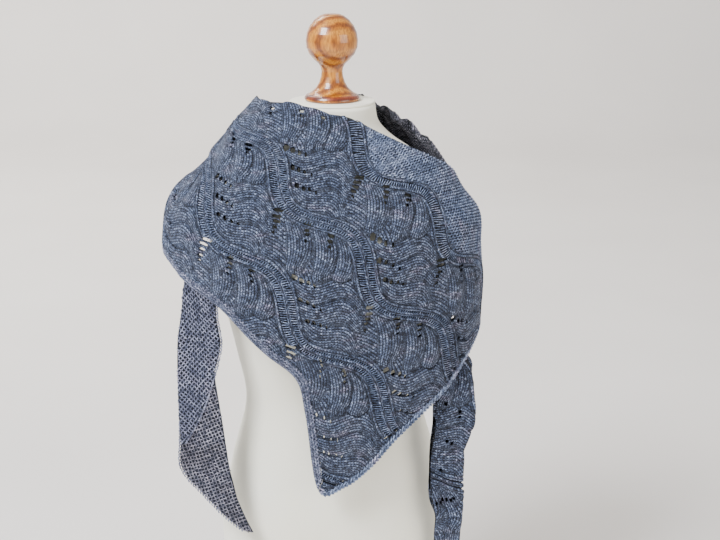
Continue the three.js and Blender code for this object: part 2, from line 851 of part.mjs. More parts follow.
function laceWing() {
  const geometry = wingStretch({
    columns: 38,
    rows: 14,
    from: LACE_WING[0].theta,
    to: COLLAR_START,
    seam: SEAM,
    edges: LACE_WING,
    out: wingOut,
    rise: (theta, z) => laceRise(clothPlace(theta, z)),
  });
  const inside = ({ theta, z }) => {
    const at = theta / DEG;
    if (at > LACE_WING[0].theta - SEAM_MARGIN || at < COLLAR_START + COLLAR_MARGIN) return false;
    if (garterSide(clothPlace(theta, z))) return false;
    const top = lookup(LACE_WING, "theta", "top", at);
    const hem = lookup(LACE_WING, "theta", "hem", at);
    return z < top - EYELET_MARGIN && z > hem + EYELET_MARGIN;
  };
  return named("shawl_lace_wing", cutEyelets(turned(geometry), inside), COLOURS.lace, 0.9);
}

function collar() {
  const geometry = wingStretch({
    columns: 34,
    rows: 8,
    from: COLLAR_START,
    to: LACE_WING[LACE_WING.length - 1].theta,
    seam: 2 * SEAM,
    edges: LACE_WING,
    out: wingOut,
    rise: () => 0,
  });
  return named("shawl_collar", turned(geometry), COLOURS.shade, 0.95);
}

function garterWing() {
  const geometry = wingStretch({
    columns: 18,
    rows: 8,
    from: GARTER_WING[0].theta,
    to: GARTER_WING[GARTER_WING.length - 1].theta,
    seam: SEAM,
    edges: GARTER_WING,
    out: (theta) => lookup(GARTER_WING, "theta", "out", theta / DEG),
    rise: () => 0,
  });
  return named("shawl_garter_wing", geometry, COLOURS.lace, 0.9);
}

const TAIL_TOP = TAIL_FLAP[0].z;
const TAIL_DROP = 90; // how far below its top the left tail hangs clear of the front
const TAIL_TUCK = 1.4; // how close it lies under the front at its top
const TAIL_PLANE = { x: -205, y: -86, slope: -0.28 }; // where it hangs, seen from above
const TAIL_FOLD = { deep: 3, wide: 9, fade: 420 }; // its soft upright folds

// The y of the left tail: close under the front at its top, then hanging straight.
function tailDepth(x, z) {
  const hung = smooth((TAIL_TOP - z) / TAIL_DROP);
  const fade = hung * (1 - smooth((TAIL_TOP - z) / TAIL_FOLD.fade));
  const fold = TAIL_FOLD.deep * fade * Math.sin((x - TAIL_PLANE.x) / TAIL_FOLD.wide);
  const hanging = TAIL_PLANE.y + TAIL_PLANE.slope * (x - TAIL_PLANE.x);
  let under = hanging;
  for (let k = 0; k < SEARCH_STEPS; k += 1) {
    const radius = capeRadius(Math.atan2(x, -under), z) - WALL - TAIL_TUCK;
    under = (under - Math.sqrt(Math.max(1, radius * radius - x * x))) / 2;
  }
  return under * (1 - hung) + hanging * hung + fold;
}

// A layer of the left tail, a wall that faces the viewer, set back from the tail's plane.
function tailLayer(name, rows, back, steps) {
  const columns = 6;
  const topZ = rows[0].z;
  const tipZ = rows[rows.length - 1].z;
  const sheet = (depth) => (share, down) => {
    const z = topZ + (tipZ - topZ) * down;
    const left = lookup(rows, "z", "left", z);
    const x = left + (lookup(rows, "z", "right", z) - left) * share;
    return new THREE.Vector3(x, tailDepth(x, z) + back + depth, z);
  };
  return named(name, wall(columns, steps, 1, sheet(0), sheet(WALL)), COLOURS.lace, 0.9);
}

const TAIL_LAYERS = 3; // how often the crumpled right tail lies on itself
const TAIL_TURN = 3.2; // radius of its turns
const TAIL_BULGE = 1.8; // how far a turn reaches past the layers
const TAIL_LUMPS = table(
  ["size", "perHeight", "perWidth"],
  [
    [2.2, 1 / 13, 2.2],
    [1.6, 1 / 31, 4],
  ],
);

// Stops of the right tail's section: right along one layer, back left along the next.
function crumpledPath() {
  const run = 5;
  const path = [];
  for (let layer = 0; layer < TAIL_LAYERS; layer += 1) {
    const way = layer % 2 === 0 ? 1 : -1;
    for (let k = 0; k < run; k += 1) {
      path.push({ across: way * ((2 * k) / (run - 1) - 1), back: 2 * layer * TAIL_TURN, bulge: 0 });
    }
    if (layer + 1 < TAIL_LAYERS) {
      path.push({ across: way, back: (2 * layer + 1) * TAIL_TURN, bulge: way * TAIL_BULGE });
    }
  }
  return path;
}

// A stop of that section at a height, with the soft lumps of the crumpled strip.
function crumpledStop({ across, back, bulge }, z) {
  const read = (name) => lookup(RIGHT_TAIL, "z", name, z);
  const turn = read("turn") * DEG;
  const side = across * read("half") + bulge;
  const lump = TAIL_LUMPS.reduce(
    (sum, { size, perHeight, perWidth }) => sum + size * Math.sin(z * perHeight + across * perWidth),
    0,
  );
  const depth = back + lump;
  return new THREE.Vector3(
    read("x") + side * Math.cos(turn) - depth * Math.sin(turn),
    read("y") + side * Math.sin(turn) + depth * Math.cos(turn),
    z,
  );
}

function rightTail() {
  const steps = 18;
  const path = crumpledPath();
  const last = path.length - 1;
  const top = RIGHT_TAIL[0].z;
  const tip = RIGHT_TAIL[RIGHT_TAIL.length - 1].z;
  const sheet = (side) => (share, down) => {
    const k = Math.round(share * last);
    const z = top + (tip - top) * down;
    const before = crumpledStop(path[Math.max(0, k - 1)], z);
    const along = crumpledStop(path[Math.min(last, k + 1)], z).sub(before).normalize();
    const normal = new THREE.Vector3(along.y, -along.x, 0);
    return crumpledStop(path[k], z).addScaledVector(normal, (side * WALL) / 2);
  };
  return named("shawl_right_tail", wall(last, steps, 1, sheet(1), sheet(-1)), COLOURS.lace, 0.9);
}

// A solid lofted through the sections of a table, closed flat at both ends.
function loft(rows, levels, around) {
  const points = [];
  const faces = [];
  const half = (name, z) => lookup(rows, "z", name, z);
  for (const z of levels) {
    for (let k = 0; k < around; k += 1) {
      const theta = (2 * Math.PI * k) / around;
      const side = half("side", z);
      points.push(polar(sectionRadius(theta, side, side, half("front", z), half("back", z)), theta, z));
    }
  }
  for (let j = 0; j + 1 < levels.length; j += 1) {
    for (let k = 0; k < around; k += 1) {
      const next = (k + 1) % around;
      const [a, b] = [j * around + k, j * around + next];
      faces.push(a, b, b + around, a, b + around, a + around);
    }
  }
  const top = (levels.length - 1) * around;
  for (let k = 1; k < around - 1; k += 1) {
    faces.push(0, k + 1, k);
    faces.push(top, top + k, top + k + 1);
  }
  return geometryOf(points, faces);
}

const TORSO_AROUND = 26; // sides of the torso's section

function torso() {
  const levels = [];
  for (const [k, row] of TORSO.entries()) {
    levels.push(row.z);
    if (k + 1 < TORSO.length && TORSO[k + 1].z - row.z > 30) levels.push((row.z + TORSO[k + 1].z) / 2);
  }
  return named("torso", loft(TORSO, levels, TORSO_AROUND), COLOURS.jersey, 0.9);
}

// A turned piece: its outline spun round the middle line, standing on a height.
function turnedPiece(name, outline, height, around, colour, roughness) {
  const geometry = new THREE.LatheGeometry(outline.map(([r, z]) => new THREE.Vector2(r, z)), around);
  geometry.rotateX(Math.PI / 2);
  geometry.translate(0, 0, height);
  return named(name, geometry, colour, roughness);
}

function neckCap() {
  const outline = [
    [0, 0],
    [NECK_RADIUS, 0],
    [NECK_RADIUS, CAP_HEIGHT - 1],
    [NECK_RADIUS - 1, CAP_HEIGHT],
    [0, CAP_HEIGHT],
  ];
  return turnedPiece("neck_cap", outline, NECK_TOP - CAP_HEIGHT, 32, COLOURS.jersey, 0.85);
}

function finial() {
  const outline = FINIAL.map(({ radius, z }) => [radius, z]);
  return turnedPiece("finial", outline, NECK_TOP + JOINT, 20, COLOURS.ball, 0.3);
}

function pole() {
  const height = TORSO_BOTTOM - BASE_HEIGHT - 2 * JOINT;
  const outline = [
    [0, 0],
    [POLE_RADIUS, 0],
    [POLE_RADIUS, height],
    [0, height],
  ];
  return turnedPiece("stand_pole", outline, BASE_HEIGHT + JOINT, 24, COLOURS.ball, 0.35);
}

function base() {
  const outline = [
    [0, 0],
    [BASE_RADIUS, 0],
    [BASE_RADIUS, BASE_HEIGHT - 8],
    [BASE_RADIUS - 3, BASE_HEIGHT - 3],
    [BASE_RADIUS - 9, BASE_HEIGHT],
    [0, BASE_HEIGHT],
  ];
  return turnedPiece("stand_base", outline, 0, 48, COLOURS.ball, 0.35);
}

const shawl = new THREE.Group();
shawl.add(frontPanel());
shawl.add(hemBand("front_left_edging", 0, POINT_COLUMN, edgeWidth, 1.6));
shawl.add(hemBand("front_right_edging", POINT_COLUMN, FRONT_COLUMNS, edgeWidth, 2.2));
shawl.add(laceWing());
shawl.add(collar());
shawl.add(garterWing());
shawl.add(tailLayer("left_tail_flap", TAIL_FLAP, 0, 18));
shawl.add(tailLayer("left_tail_under", TAIL_UNDER, WALL + 0.7, 22));
shawl.add(rightTail());

const form = new THREE.Group();
form.add(torso(), neckCap(), finial(), pole(), base());

const model = new THREE.Group();
model.add(shawl, form);
export default model;
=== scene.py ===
import math

import bpy
import numpy as np
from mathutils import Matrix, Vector


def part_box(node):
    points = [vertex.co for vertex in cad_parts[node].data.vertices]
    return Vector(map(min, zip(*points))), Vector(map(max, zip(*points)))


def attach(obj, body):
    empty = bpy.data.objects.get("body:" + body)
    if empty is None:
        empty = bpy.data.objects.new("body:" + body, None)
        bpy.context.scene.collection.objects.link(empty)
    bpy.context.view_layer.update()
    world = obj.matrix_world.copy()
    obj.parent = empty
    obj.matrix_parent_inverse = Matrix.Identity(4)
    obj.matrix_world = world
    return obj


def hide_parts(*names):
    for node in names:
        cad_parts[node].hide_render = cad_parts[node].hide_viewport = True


# A hand-knitted lace triangle shawl, worn point forward on a limbless dress form.
# Sizes are in millimetres until a mesh is made. The shawl's front faces -Y.
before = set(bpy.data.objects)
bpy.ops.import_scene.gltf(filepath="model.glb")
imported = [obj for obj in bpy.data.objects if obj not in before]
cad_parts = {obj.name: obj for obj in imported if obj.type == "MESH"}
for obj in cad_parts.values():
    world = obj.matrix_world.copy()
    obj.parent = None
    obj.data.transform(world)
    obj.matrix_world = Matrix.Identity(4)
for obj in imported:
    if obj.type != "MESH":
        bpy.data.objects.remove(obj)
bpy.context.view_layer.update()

MM = 0.001
BODY = "root"

# Cloth, as in the solids
WALL = 2.6  # thickness of the knitted cloth
SEAM = 0.35  # space between two pieces
LAYER = 6.2  # how far an inner layer lies behind the outer one
ROUNDNESS = 2.3  # of the draped section, where 2 would be an ellipse

# Knitting gauge
WALE = 3.8  # width of a column of knit stitches
COURSE = 3.4  # height of a knit stitch
RIDGE = 3.8  # from one garter ridge to the next
PURL = 5.4  # from one garter bump to the next along a ridge
GARTER_RISE = 0.35  # how far a garter ridge stands up
GARTER_RELIEF = 0.25  # how much of a knit stitch's relief plain garter shows
NET_WIDE = 6.5  # one open diamond of the tail's stretched garter
NET_HIGH = 6.8

# Lace
REPEAT_ALONG = 166.5  # one wave of a spine
REPEAT_ACROSS = 107.6  # from one spine to the next
REPEAT_SHIFT = 30.7  # how far the next spine's wave lags
WAVE = 18  # how far a spine swings to each side
SPINE_ANGLE = math.radians(-48.7)
LACE_START = (-53, -45)  # the steep middle of one spine, as cloth u and v
RIB_RISE = 2.5
RIB_HALF = 2.5
LADDER_DROP = 2.3
LADDER_FADE = 1.5  # over this width the ladders begin and end
RIB_SHARP = 1.6  # how soon a ladder's sunken gap, with its painted shade, ends beside a rib
RUNG_PITCH = 3.2
LEAF_RISE = 2.9
LEAF_HALF = 15
LEAF_SLIM = 0.74  # a leaf's half-width at its tips, as a share of its middle's
LEAF_BLUNT = 1.3  # how much sooner a leaf falls off past its tips than at its sides
LEAF_LEAN = 0.45  # how far a leaf's courses run back beside its middle line
LEAF_VARY = 0.25  # how much higher or lower one leaf stands than another
PLAIN_REACH = 1.15  # farther than this from every leaf the ground is plain
CREASE_DEEP = 2.0  # the stitched crease between two leaves
CREASE_WIDE = 2.1
CREASE_BEAT = 4.6
GROOVE_DEEP = 0.8  # the groove beside a spine
GROOVE_FROM = 1.2
GROOVE_WIDE = 1.3
SPINE_FADE = 1.6  # over this width a spine passes into the leaves
HOLE_RIM = 0.45  # how far the rim of a hole stands up
FIRST_SPINE = -1
LAST_SPINE = 2  # past this one the cloth is plain garter
SPINES = range(FIRST_SPINE, LAST_SPINE + 1)
RIB_SPREAD = {"left": (10.2, 3.3), "right": (9.8, 3.1), "border": (7.6, 2.2)}

# How the form stretches the lace: moves along u and v, for 1, u, v, uu, uv and vv in 100 mm
STRETCH = np.array([(-3.6, -0.8), (1.4, 1.4), (-3.4, 2.1), (-0.7, 2.3), (-1.1, -1.5), (1.5, -2.3)])
STRETCH_REACH = 200  # past this the stretch grows no more


class Table:
    """Named columns over one key, read along a smooth curve between the rows."""

    def __init__(self, columns, rows):
        values = np.array(rows, float)
        if values[0, 0] > values[-1, 0]:
            values = values[::-1]
        self.key = values[:, 0]
        self.columns = dict(zip(columns, values.T))

    def read(self, name, at):
        key, value = self.key, self.columns[name]
        last = len(key) - 1
        order = np.arange(last + 1)
        low, high = np.maximum(order - 1, 0), np.minimum(order + 1, last)
        slope = (value[high] - value[low]) / (key[high] - key[low])
        at = np.clip(at, key[0], key[-1])
        i = np.clip(np.searchsorted(key, at, side="right") - 1, 0, last - 1)
        span = key[i + 1] - key[i]
        t = (at - key[i]) / span
        s = t * t * (3 - 2 * t)
        lead = t * (1 - t) ** 2 * span * slope[i]
        tail = t * t * (t - 1) * span * slope[i + 1]
        return value[i] * (1 - s) + value[i + 1] * s + lead + tail


def numbered(columns, rows):
    """A table whose key is the number of the row."""
    return Table(("row", *columns), [(k, *row) for k, row in enumerate(rows)])


# Half-widths of the draped shawl at each height
CAPE = Table(("z", "left", "right", "front", "back"), [
    (280, 206, 180, 132, 118),
    (380, 212, 190, 138, 122),
    (450, 218, 196, 142, 126),
    (510, 222, 201, 146, 130),
    (560, 226, 203, 147, 132),
    (610, 229, 200, 144, 131),
    (650, 223, 198, 137, 128),
    (680, 209, 176, 127, 122),
    (710, 175, 160, 112, 112),
    (740, 153, 140, 94, 100),
    (770, 131, 116, 78, 86),
    (784, 117, 92, 72, 80),
    (800, 101, 62, 64, 72),
    (806, 92, 50, 58, 66),
])

# Upper edge of the front, from the left side of the body to the right
FRONT_TOP = numbered(("theta", "z"), [
    (-98, 801), (-70, 803), (-47, 804), (-20, 799), (2, 791), (17, 789),
    (28, 782), (46, 764), (62, 744), (76, 725), (98, 697),
])
TOP_MIDDLE = 5  # the row of the upper edge above the triangle's point

# Lower edge of the front, down the left leg to the point and up the right leg.
# Lean is the way that the cloth's lengthwise lines leave the edge, above level.
FRONT_HEM = numbered(("theta", "z", "lean"), [
    (-98, 600, 90), (-86, 598, 88), (-75, 593, 82), (-65, 573, 70), (-51, 549, 64),
    (-39, 510, 60), (-31, 487, 60), (-18, 455, 62), (-14, 405, 66), (-8, 297, 68),
    (7, 302, 88), (21, 329, 104), (34, 369, 112), (48, 406, 114), (57, 428, 112),
    (67, 459, 106), (78, 485, 98), (98, 497, 90),
])
POINT_ROW = 9  # the row of the triangle's point

# The lace wing over the left shoulder, across the back and up behind the neck
LACE_WING = Table(("theta", "top", "hem", "out", "ruffle"), [
    (-98, 801, 600, 0, 0), (-115, 784, 603, 0, 0.6), (-135, 771, 612, 0, 1.4),
    (-160, 768, 628, 0, 2), (-180, 776, 648, 0, 2.4), (-195, 790, 672, 0, 1.6),
    (-212, 799, 697, 0, 0), (-222, 795, 711, 0, 3), (-232, 789, 721, -0.4, 5),
    (-240, 780, 716, -2.6, 5.4), (-248, 771, 704, -3.8, 5), (-258, 756, 702, -3.8, 4.2),
    (-268, 738, 699, -3.8, 2.6),
])
SIDE = 98  # degrees from the front's middle to its seams with the wings
SIDE_CLEAR = 0.3  # how far strands stay from those seams
COLLAR_START = -212
COLLAR_END = -268
GARTER_END = 156

# The garter wing over the right shoulder and in under the lace wing at the back
GARTER_WING = Table(("theta", "top", "hem", "out"), [
    (98, 697, 497, 0), (110, 702, 508, 0), (122, 709, 527, 0), (128, 713, 540, -0.3),
    (133, 716, 550, -LAYER), (145, 725, 575, -LAYER), (156, 731, 597, -LAYER),
])

# The left tail: the outer flap of its fold, and the layer under it that ends in the tip
TAIL_FLAP = Table(("z", "left", "right"), [
    (588, -190, -150), (560, -197, -150), (529, -200, -151), (496, -205, -147),
    (482, -206, -148), (448, -207, -157), (416, -207, -167), (390, -207, -177),
    (364, -206, -190), (346, -206, -201),
])
TAIL_UNDER = Table(("z", "left", "right"), [
    (580, -190, -156), (500, -201, -157), (447, -204, -156), (414, -205, -152),
    (378, -205, -147), (345, -206, -143), (315, -207, -139), (293, -196, -134),
    (272, -174, -129), (250, -152, -120), (237, -137, -114), (226, -118, -108),
])

# The right tail, a strip crumpled in three layers: middle line, half-width and turn
RIGHT_TAIL = Table(("z", "x", "y", "half", "turn"), [
    (512, 163.4, -73, 21, 60), (480, 166.4, -72.6, 23, 54), (455, 166, -76, 24, 42),
    (430, 166, -81, 24, 26), (405, 165, -86, 25, 14), (375, 164, -88, 24, 8),
    (345, 156, -89, 21, 0), (305, 153, -89, 20, -6), (265, 155, -88, 20, 4),
    (238, 158, -87, 15, 0), (200, 156, -86, 15, -6), (165, 157, -85, 11, 0),
    (138, 158, -84, 5, 0),
])

# The padded torso of the dress form
TORSO = Table(("z", "side", "front", "back"), [
    (95, 142, 90, 108), (102, 150, 96, 114), (200, 158, 100, 120), (300, 142, 98, 106),
    (385, 122, 92, 92), (460, 134, 110, 98), (530, 150, 134, 107), (572, 160, 143.4, 112),
    (610, 166, 137, 115), (650, 172, 122, 115), (680, 172.6, 104, 110.4), (692, 163, 96, 106),
    (706, 145, 87, 99), (730, 112, 74, 84), (752, 80, 64, 70), (772, 62, 59, 61),
    (796.7, 57, 57, 57),
])

# Outline of the turned finial, from its foot to its flat top
FINIAL = [
    (0, 0), (33, 0), (35.6, 0.5), (36.8, 2), (36.6, 4), (35, 6.6), (34.2, 7.4), (31, 8.6),
    (27, 11.2), (21, 17), (17, 24), (14.6, 32), (14, 38), (14.8, 43), (17.5, 48), (23, 53),
    (30, 61), (33.8, 70), (34.5, 79), (33, 89), (29, 98), (22.5, 106), (16, 110.8),
    (10, 113.2), (4, 113.7), (0, 113.7),
]

# Middle lines of the six leaves of one repeat, from the steep middle of its spine.
# Bow is how far the line bends to the left of its own way, swing how far it then sways.
LEAVES = [
    # u0, v0, u1, v1, bow, swing
    (11, 29, 92, 8, 4, -9),
    (16, 0, 88, -19, 7, -7),
    (22, -22, 80, -56, 5, -7),
    (20, -62, 20, -118, 8, 0),
    (56, -74, 53, -128, 8, 0),
    (82, -84, 78, -134, 8, 0),
]

# Columns of holes at the heads of the leaves: first hole, step to the next, how many, size.
# Shrink is how much smaller each next hole is.
EYELETS = [
    # u, v, du, dv, count, wide, high, shrink
    (9.5, 42, 8.5, -4, 4, 8.6, 10.6, 0.2),
    (18, 13, 8, -4, 4, 6.6, 8.2, 0.2),
    (24, -13, 8, -3, 4, 6.6, 7.8, 0.2),
    (2.5, -48, -2.3, -6.9, 5, 16.0, 5.5, 0.17),
    (38, -65, -0.6, -6.6, 4, 11.0, 5.2, 0.2),
    (67, -78.5, -1, -6.6, 3, 11.0, 5.2, 0.22),
]

# Soft folds of the draped cloth, as cloth lines: depth is below the surface, or above it
# where it is negative, and wide is half the fold's width.
FOLDS = [
    # u0, v0, u1, v1, depth, wide
    (-120, 150, -60, 95, 2.4, 9),
    (-150, 60, -95, 20, 2.7, 10),
    (-205, 95, -160, 10, 2.7, 12),
    (-60, -60, 10, -120, -2.4, 14),
    (-95, -20, -40, -75, 2.1, 9),
    (60, 60, 120, -30, -2.2, 16),
    (95, -40, 150, -95, 2.7, 9),
    (40, -150, 85, -195, 2.2, 8),
    (-20, -190, 20, -235, -2.1, 10),
    (150, 60, 200, -40, 3.0, 12),
    (-300, 120, -260, 20, -2.7, 14),
    (-360, 110, -330, 30, 2.7, 12),
    (-430, 120, -410, 60, -2.4, 13),
    (-480, 150, -470, 100, 2.7, 10),
    (-262, 88, -232, 76, 3.6, 6),
    (-262, 106, -236, 98, -2.6, 8),
    (-268, 62, -228, 46, -2.8, 9),
    (-262, 30, -226, 22, 2.4, 8),
    (-262, 10, -226, 4, -2.2, 8),
    (-246, 146, -222, 132, 3.4, 6),
    (-225, 165, -185, 150, -2.6, 9),
]


def smooth(t):
    c = np.clip(t, 0, 1)
    return c * c * (3 - 2 * c)


def unit(v):
    return v / np.maximum(np.linalg.norm(v, axis=-1, keepdims=True), 1e-9)


def path_length(*columns):
    """The length along a row of points, given by their columns, up to each of them."""
    steps = np.linalg.norm(np.diff(np.stack(columns, -1), axis=0), axis=-1)
    return np.concatenate([[0], np.cumsum(steps)])


# The draped surface

def section_radius(theta, left, right, front, back):
    sine, cosine = np.sin(theta), np.cos(theta)
    side = np.abs(sine) / np.where(sine < 0, left, right)
    face = np.abs(cosine) / np.where(cosine > 0, front, back)
    return (side**ROUNDNESS + face**ROUNDNESS) ** (-1 / ROUNDNESS)


def cape_radius(theta, z):
    sides = (CAPE.read(side, z) for side in ("left", "right", "front", "back"))
    return section_radius(theta, *sides)


def polar(radius, theta, z):
    x, y = radius * np.sin(theta), -radius * np.cos(theta)
    return np.stack(np.broadcast_arrays(x, y, z), axis=-1)


def cape_axes(theta, z):
    """A place on the draped surface, its way around, its way up and its outward normal."""
    step = 1.0
    turn = step / cape_radius(theta, z)
    at = polar(cape_radius(theta, z), theta, z)
    ahead = polar(cape_radius(theta + turn, z), theta + turn, z)
    behind = polar(cape_radius(theta - turn, z), theta - turn, z)
    above = polar(cape_radius(theta, z + step), theta, z + step)
    below = polar(cape_radius(theta, z - step), theta, z - step)
    around, up = unit(ahead - behind), unit(above - below)
    normal = unit(np.cross(around, up))
    return at, around, unit(np.cross(normal, around)), normal


def cape_point(theta, z, out=0.0):
    at, _, _, normal = cape_axes(theta, z)
    return at + normal * np.asarray(out)[..., None]


# Lengths along the cloth: u around the body from its front, v up it from one level
LEVEL = 600
CHART_TURN = 3.0  # degrees between the chart's upright lines
CHART_STEP = 8.0  # height between its level lines
CHART_THETA = np.arange(-273, 166, CHART_TURN)
CHART_Z = np.arange(280, 809, CHART_STEP)


def measure_cloth():
    theta, z = np.meshgrid(np.radians(CHART_THETA), CHART_Z)
    points = polar(cape_radius(theta, z), theta, z)
    across = np.linalg.norm(np.diff(points, axis=1), axis=-1)
    up = np.linalg.norm(np.diff(points, axis=0), axis=-1)
    u = np.pad(np.cumsum(across, axis=1), ((0, 0), (1, 0)))
    v = np.pad(np.cumsum(up, axis=0), ((1, 0), (0, 0)))
    front = int(np.argmin(np.abs(CHART_THETA)))
    level = int(np.argmin(np.abs(CHART_Z - LEVEL)))
    return u - u[:, front : front + 1], v - v[level : level + 1, :]


CHART = measure_cloth()


def cloth_place(theta, z):
    """The cloth's u and v at a direction and height."""
    x = (np.degrees(theta) - CHART_THETA[0]) / CHART_TURN
    y = (z - CHART_Z[0]) / CHART_STEP
    i = np.clip(np.floor(x).astype(int), 0, len(CHART_THETA) - 2)
    j = np.clip(np.floor(y).astype(int), 0, len(CHART_Z) - 2)
    fx, fy = x - i, y - j

    def mix(chart):
        low = chart[j, i] * (1 - fx) + chart[j, i + 1] * fx
        high = chart[j + 1, i] * (1 - fx) + chart[j + 1, i + 1] * fx
        return low * (1 - fy) + high * fy

    return mix(CHART[0]), mix(CHART[1])


def body_place(u, v):
    """The direction and height of a place of the cloth, and by how much it is missed."""
    theta, z = np.zeros_like(u), np.full_like(u, LEVEL)
    for _ in range(30):
        found_u, found_v = cloth_place(theta, z)
        theta = theta + (u - found_u) / cape_radius(theta, z)
        z = np.clip(z + (v - found_v) * 0.8, CHART_Z[0], CAPE.key[-1])
    found_u, found_v = cloth_place(theta, z)
    return theta, z, np.hypot(found_u - u, found_v - v)


# The lace

def stretched(u, v):
    """The cloth's place of an evenly knitted place."""
    a, b = (np.clip(x, -STRETCH_REACH, STRETCH_REACH) / 100 for x in (u, v))
    terms = np.stack([1 + 0 * a, a, b, a * a, a * b, b * b], -1) @ STRETCH
    return u + terms[..., 0], v + terms[..., 1]


def unstretched(u, v):
    even_u, even_v = u, v
    for _ in range(6):
        at_u, at_v = stretched(even_u, even_v)
        even_u, even_v = even_u + u - at_u, even_v + v - at_v
    return even_u, even_v


def along_across(u, v):
    """The place along the spines and across them of an evenly knitted place."""
    du, dv = u - LACE_START[0], v - LACE_START[1]
    cosine, sine = math.cos(SPINE_ANGLE), math.sin(SPINE_ANGLE)
    return du * cosine + dv * sine, -du * sine + dv * cosine


def from_along_across(along, across):
    cosine, sine = math.cos(SPINE_ANGLE), math.sin(SPINE_ANGLE)
    return (LACE_START[0] + along * cosine - across * sine,
            LACE_START[1] + along * sine + across * cosine)


def repeat_start(repeat, n):
    """The evenly knitted place from which one repeat beside a spine is set out."""
    return from_along_across(repeat * REPEAT_ALONG + n * REPEAT_SHIFT, n * REPEAT_ACROSS)


def beside_line(u, v, u0, v0, u1, v1):
    """How far along a line and to the left of it a place lies, and the line's length."""
    length = math.hypot(u1 - u0, v1 - v0)
    way_u, way_v = (u1 - u0) / length, (v1 - v0) / length
    pu, pv = u - u0, v - v0
    return pu * way_u + pv * way_v, -pu * way_v + pv * way_u, length


def spine_phase(along, n):
    return 2 * math.pi * (along - n * REPEAT_SHIFT) / REPEAT_ALONG


def spine_middle(along, n):
    return n * REPEAT_ACROSS - WAVE * np.sin(spine_phase(along, n))


def spine_slope(along, n):
    return -WAVE * 2 * math.pi / REPEAT_ALONG * np.cos(spine_phase(along, n))


def nearest_spine(along, across):
    distance, number = np.full(np.shape(along), 1e9), np.zeros(np.shape(along), int)
    for n in SPINES:
        d = (across - spine_middle(along, n)) / np.hypot(1, spine_slope(along, n))
        nearer = np.abs(d) < np.abs(distance)
        distance, number = np.where(nearer, d, distance), np.where(nearer, n, number)
    return distance, number


def rib_places(along, n):
    """How far the outer ribs of a spine lie from its middle: they spread where it is steep."""
    spread = np.cos(spine_phase(along, n))
    narrow = {side: middle + more * spread for side, (middle, more) in RIB_SPREAD.items()}
    border = n == LAST_SPINE
    return (np.where(border, narrow["border"], narrow["left"]),
            np.where(border, narrow["border"], narrow["right"]))


def spine_field(distance, number, along):
    """Height over a spine, and the painted shade given to the gaps of its ladders."""
    left, right = rib_places(along, number)
    border = number == LAST_SPINE
    ribs = np.zeros_like(distance)
    for place, wanted in ((-left, True), (0 * left, ~border), (right, True)):
        bump = np.clip(1 - ((distance - place) / RIB_HALF) ** 2, 0, 1)
        ribs = np.maximum(ribs, np.sqrt(bump) * wanted)
    middle, half = (right - left) / 2, (right + left) / 2
    between = smooth((half - np.abs(distance - middle)) / LADDER_FADE)
    gap = between * (1 - smooth(ribs * RIB_SHARP))
    return ribs * RIB_RISE - LADDER_DROP * gap, gap


def leaf_field(u, v, along):
    """The nearest leaf at each place: its reach, wale, course, tone and the crease beside it."""
    best = {name: np.full(np.shape(u), 1e9) for name in ("reach", "next")}
    best.update({name: np.zeros(np.shape(u)) for name in ("wale", "course", "tone")})
    for n in SPINES:
        near = np.round((along - n * REPEAT_SHIFT) / REPEAT_ALONG)
        for repeat in (near - 1, near, near + 1):
            origin_u, origin_v = repeat_start(repeat, n)
            for k, (*ends, bow, swing) in enumerate(LEAVES):
                down, side, length = beside_line(u - origin_u, v - origin_v, *ends)
                t = np.clip(down / length, 0, 1)
                side = side - bow * 4 * t * (1 - t) - swing * np.sin(2 * math.pi * t)
                past = np.maximum(0, np.maximum(-down, down - length))
                half = LEAF_HALF * (LEAF_SLIM + (1 - LEAF_SLIM) * np.sin(math.pi * t))
                found = {
                    "reach": np.hypot(side, LEAF_BLUNT * past) / half,
                    "wale": side / half * LEAF_HALF,
                    "course": down + LEAF_LEAN * np.abs(side),
                    "tone": np.sin(repeat * 2.1 + n * 3.7 + k * 1.9),
                }
                nearer = found["reach"] < best["reach"]
                best["next"] = np.where(
                    nearer, best["reach"], np.minimum(best["next"], found["reach"]))
                for name, value in found.items():
                    best[name] = np.where(nearer, value, best[name])
    return best


def leaf_relief(leaf):
    """Height over the leaves, and the painted shade given to the crease between two of them."""
    crease = np.exp(-(((leaf["next"] - leaf["reach"]) * LEAF_HALF / CREASE_WIDE) ** 2))
    crease = np.where(leaf["reach"] > PLAIN_REACH, 0, crease) * smooth((1.3 - leaf["reach"]) / 0.3)
    stitched = 0.5 + 0.5 * np.cos(2 * math.pi * leaf["course"] / CREASE_BEAT)
    dome = LEAF_RISE * np.clip(1 - leaf["reach"] ** 2, 0, 1) * (1 + LEAF_VARY * leaf["tone"])
    return dome - CREASE_DEEP * crease * (0.6 + 0.4 * stitched), crease * stitched


def fold_height(u, v):
    """Height of the cloth's soft folds at a place of it."""
    height = np.zeros_like(u)
    for *ends, depth, wide in FOLDS:
        down, side, length = beside_line(u, v, *ends)
        along = smooth(down / length * 3) * smooth((1 - down / length) * 2.2)
        height -= depth * along * np.exp(-((side / wide) ** 2))
    return height


# How one ridge of the shoulder's garter runs over the cloth
GARTER_RIDGE = Table(("u", "v"), [
    (-60, -36), (0, 0), (50, 28), (100, 49), (150, 58), (200, 57), (250, 50), (350, 36), (560, 26),
])


def along_ridge(u):
    return GARTER_RIDGE.read("v", u)


def ridge_wave(row):
    """From one on a garter ridge to minus one between two."""
    return np.cos(2 * math.pi * row / RIDGE)


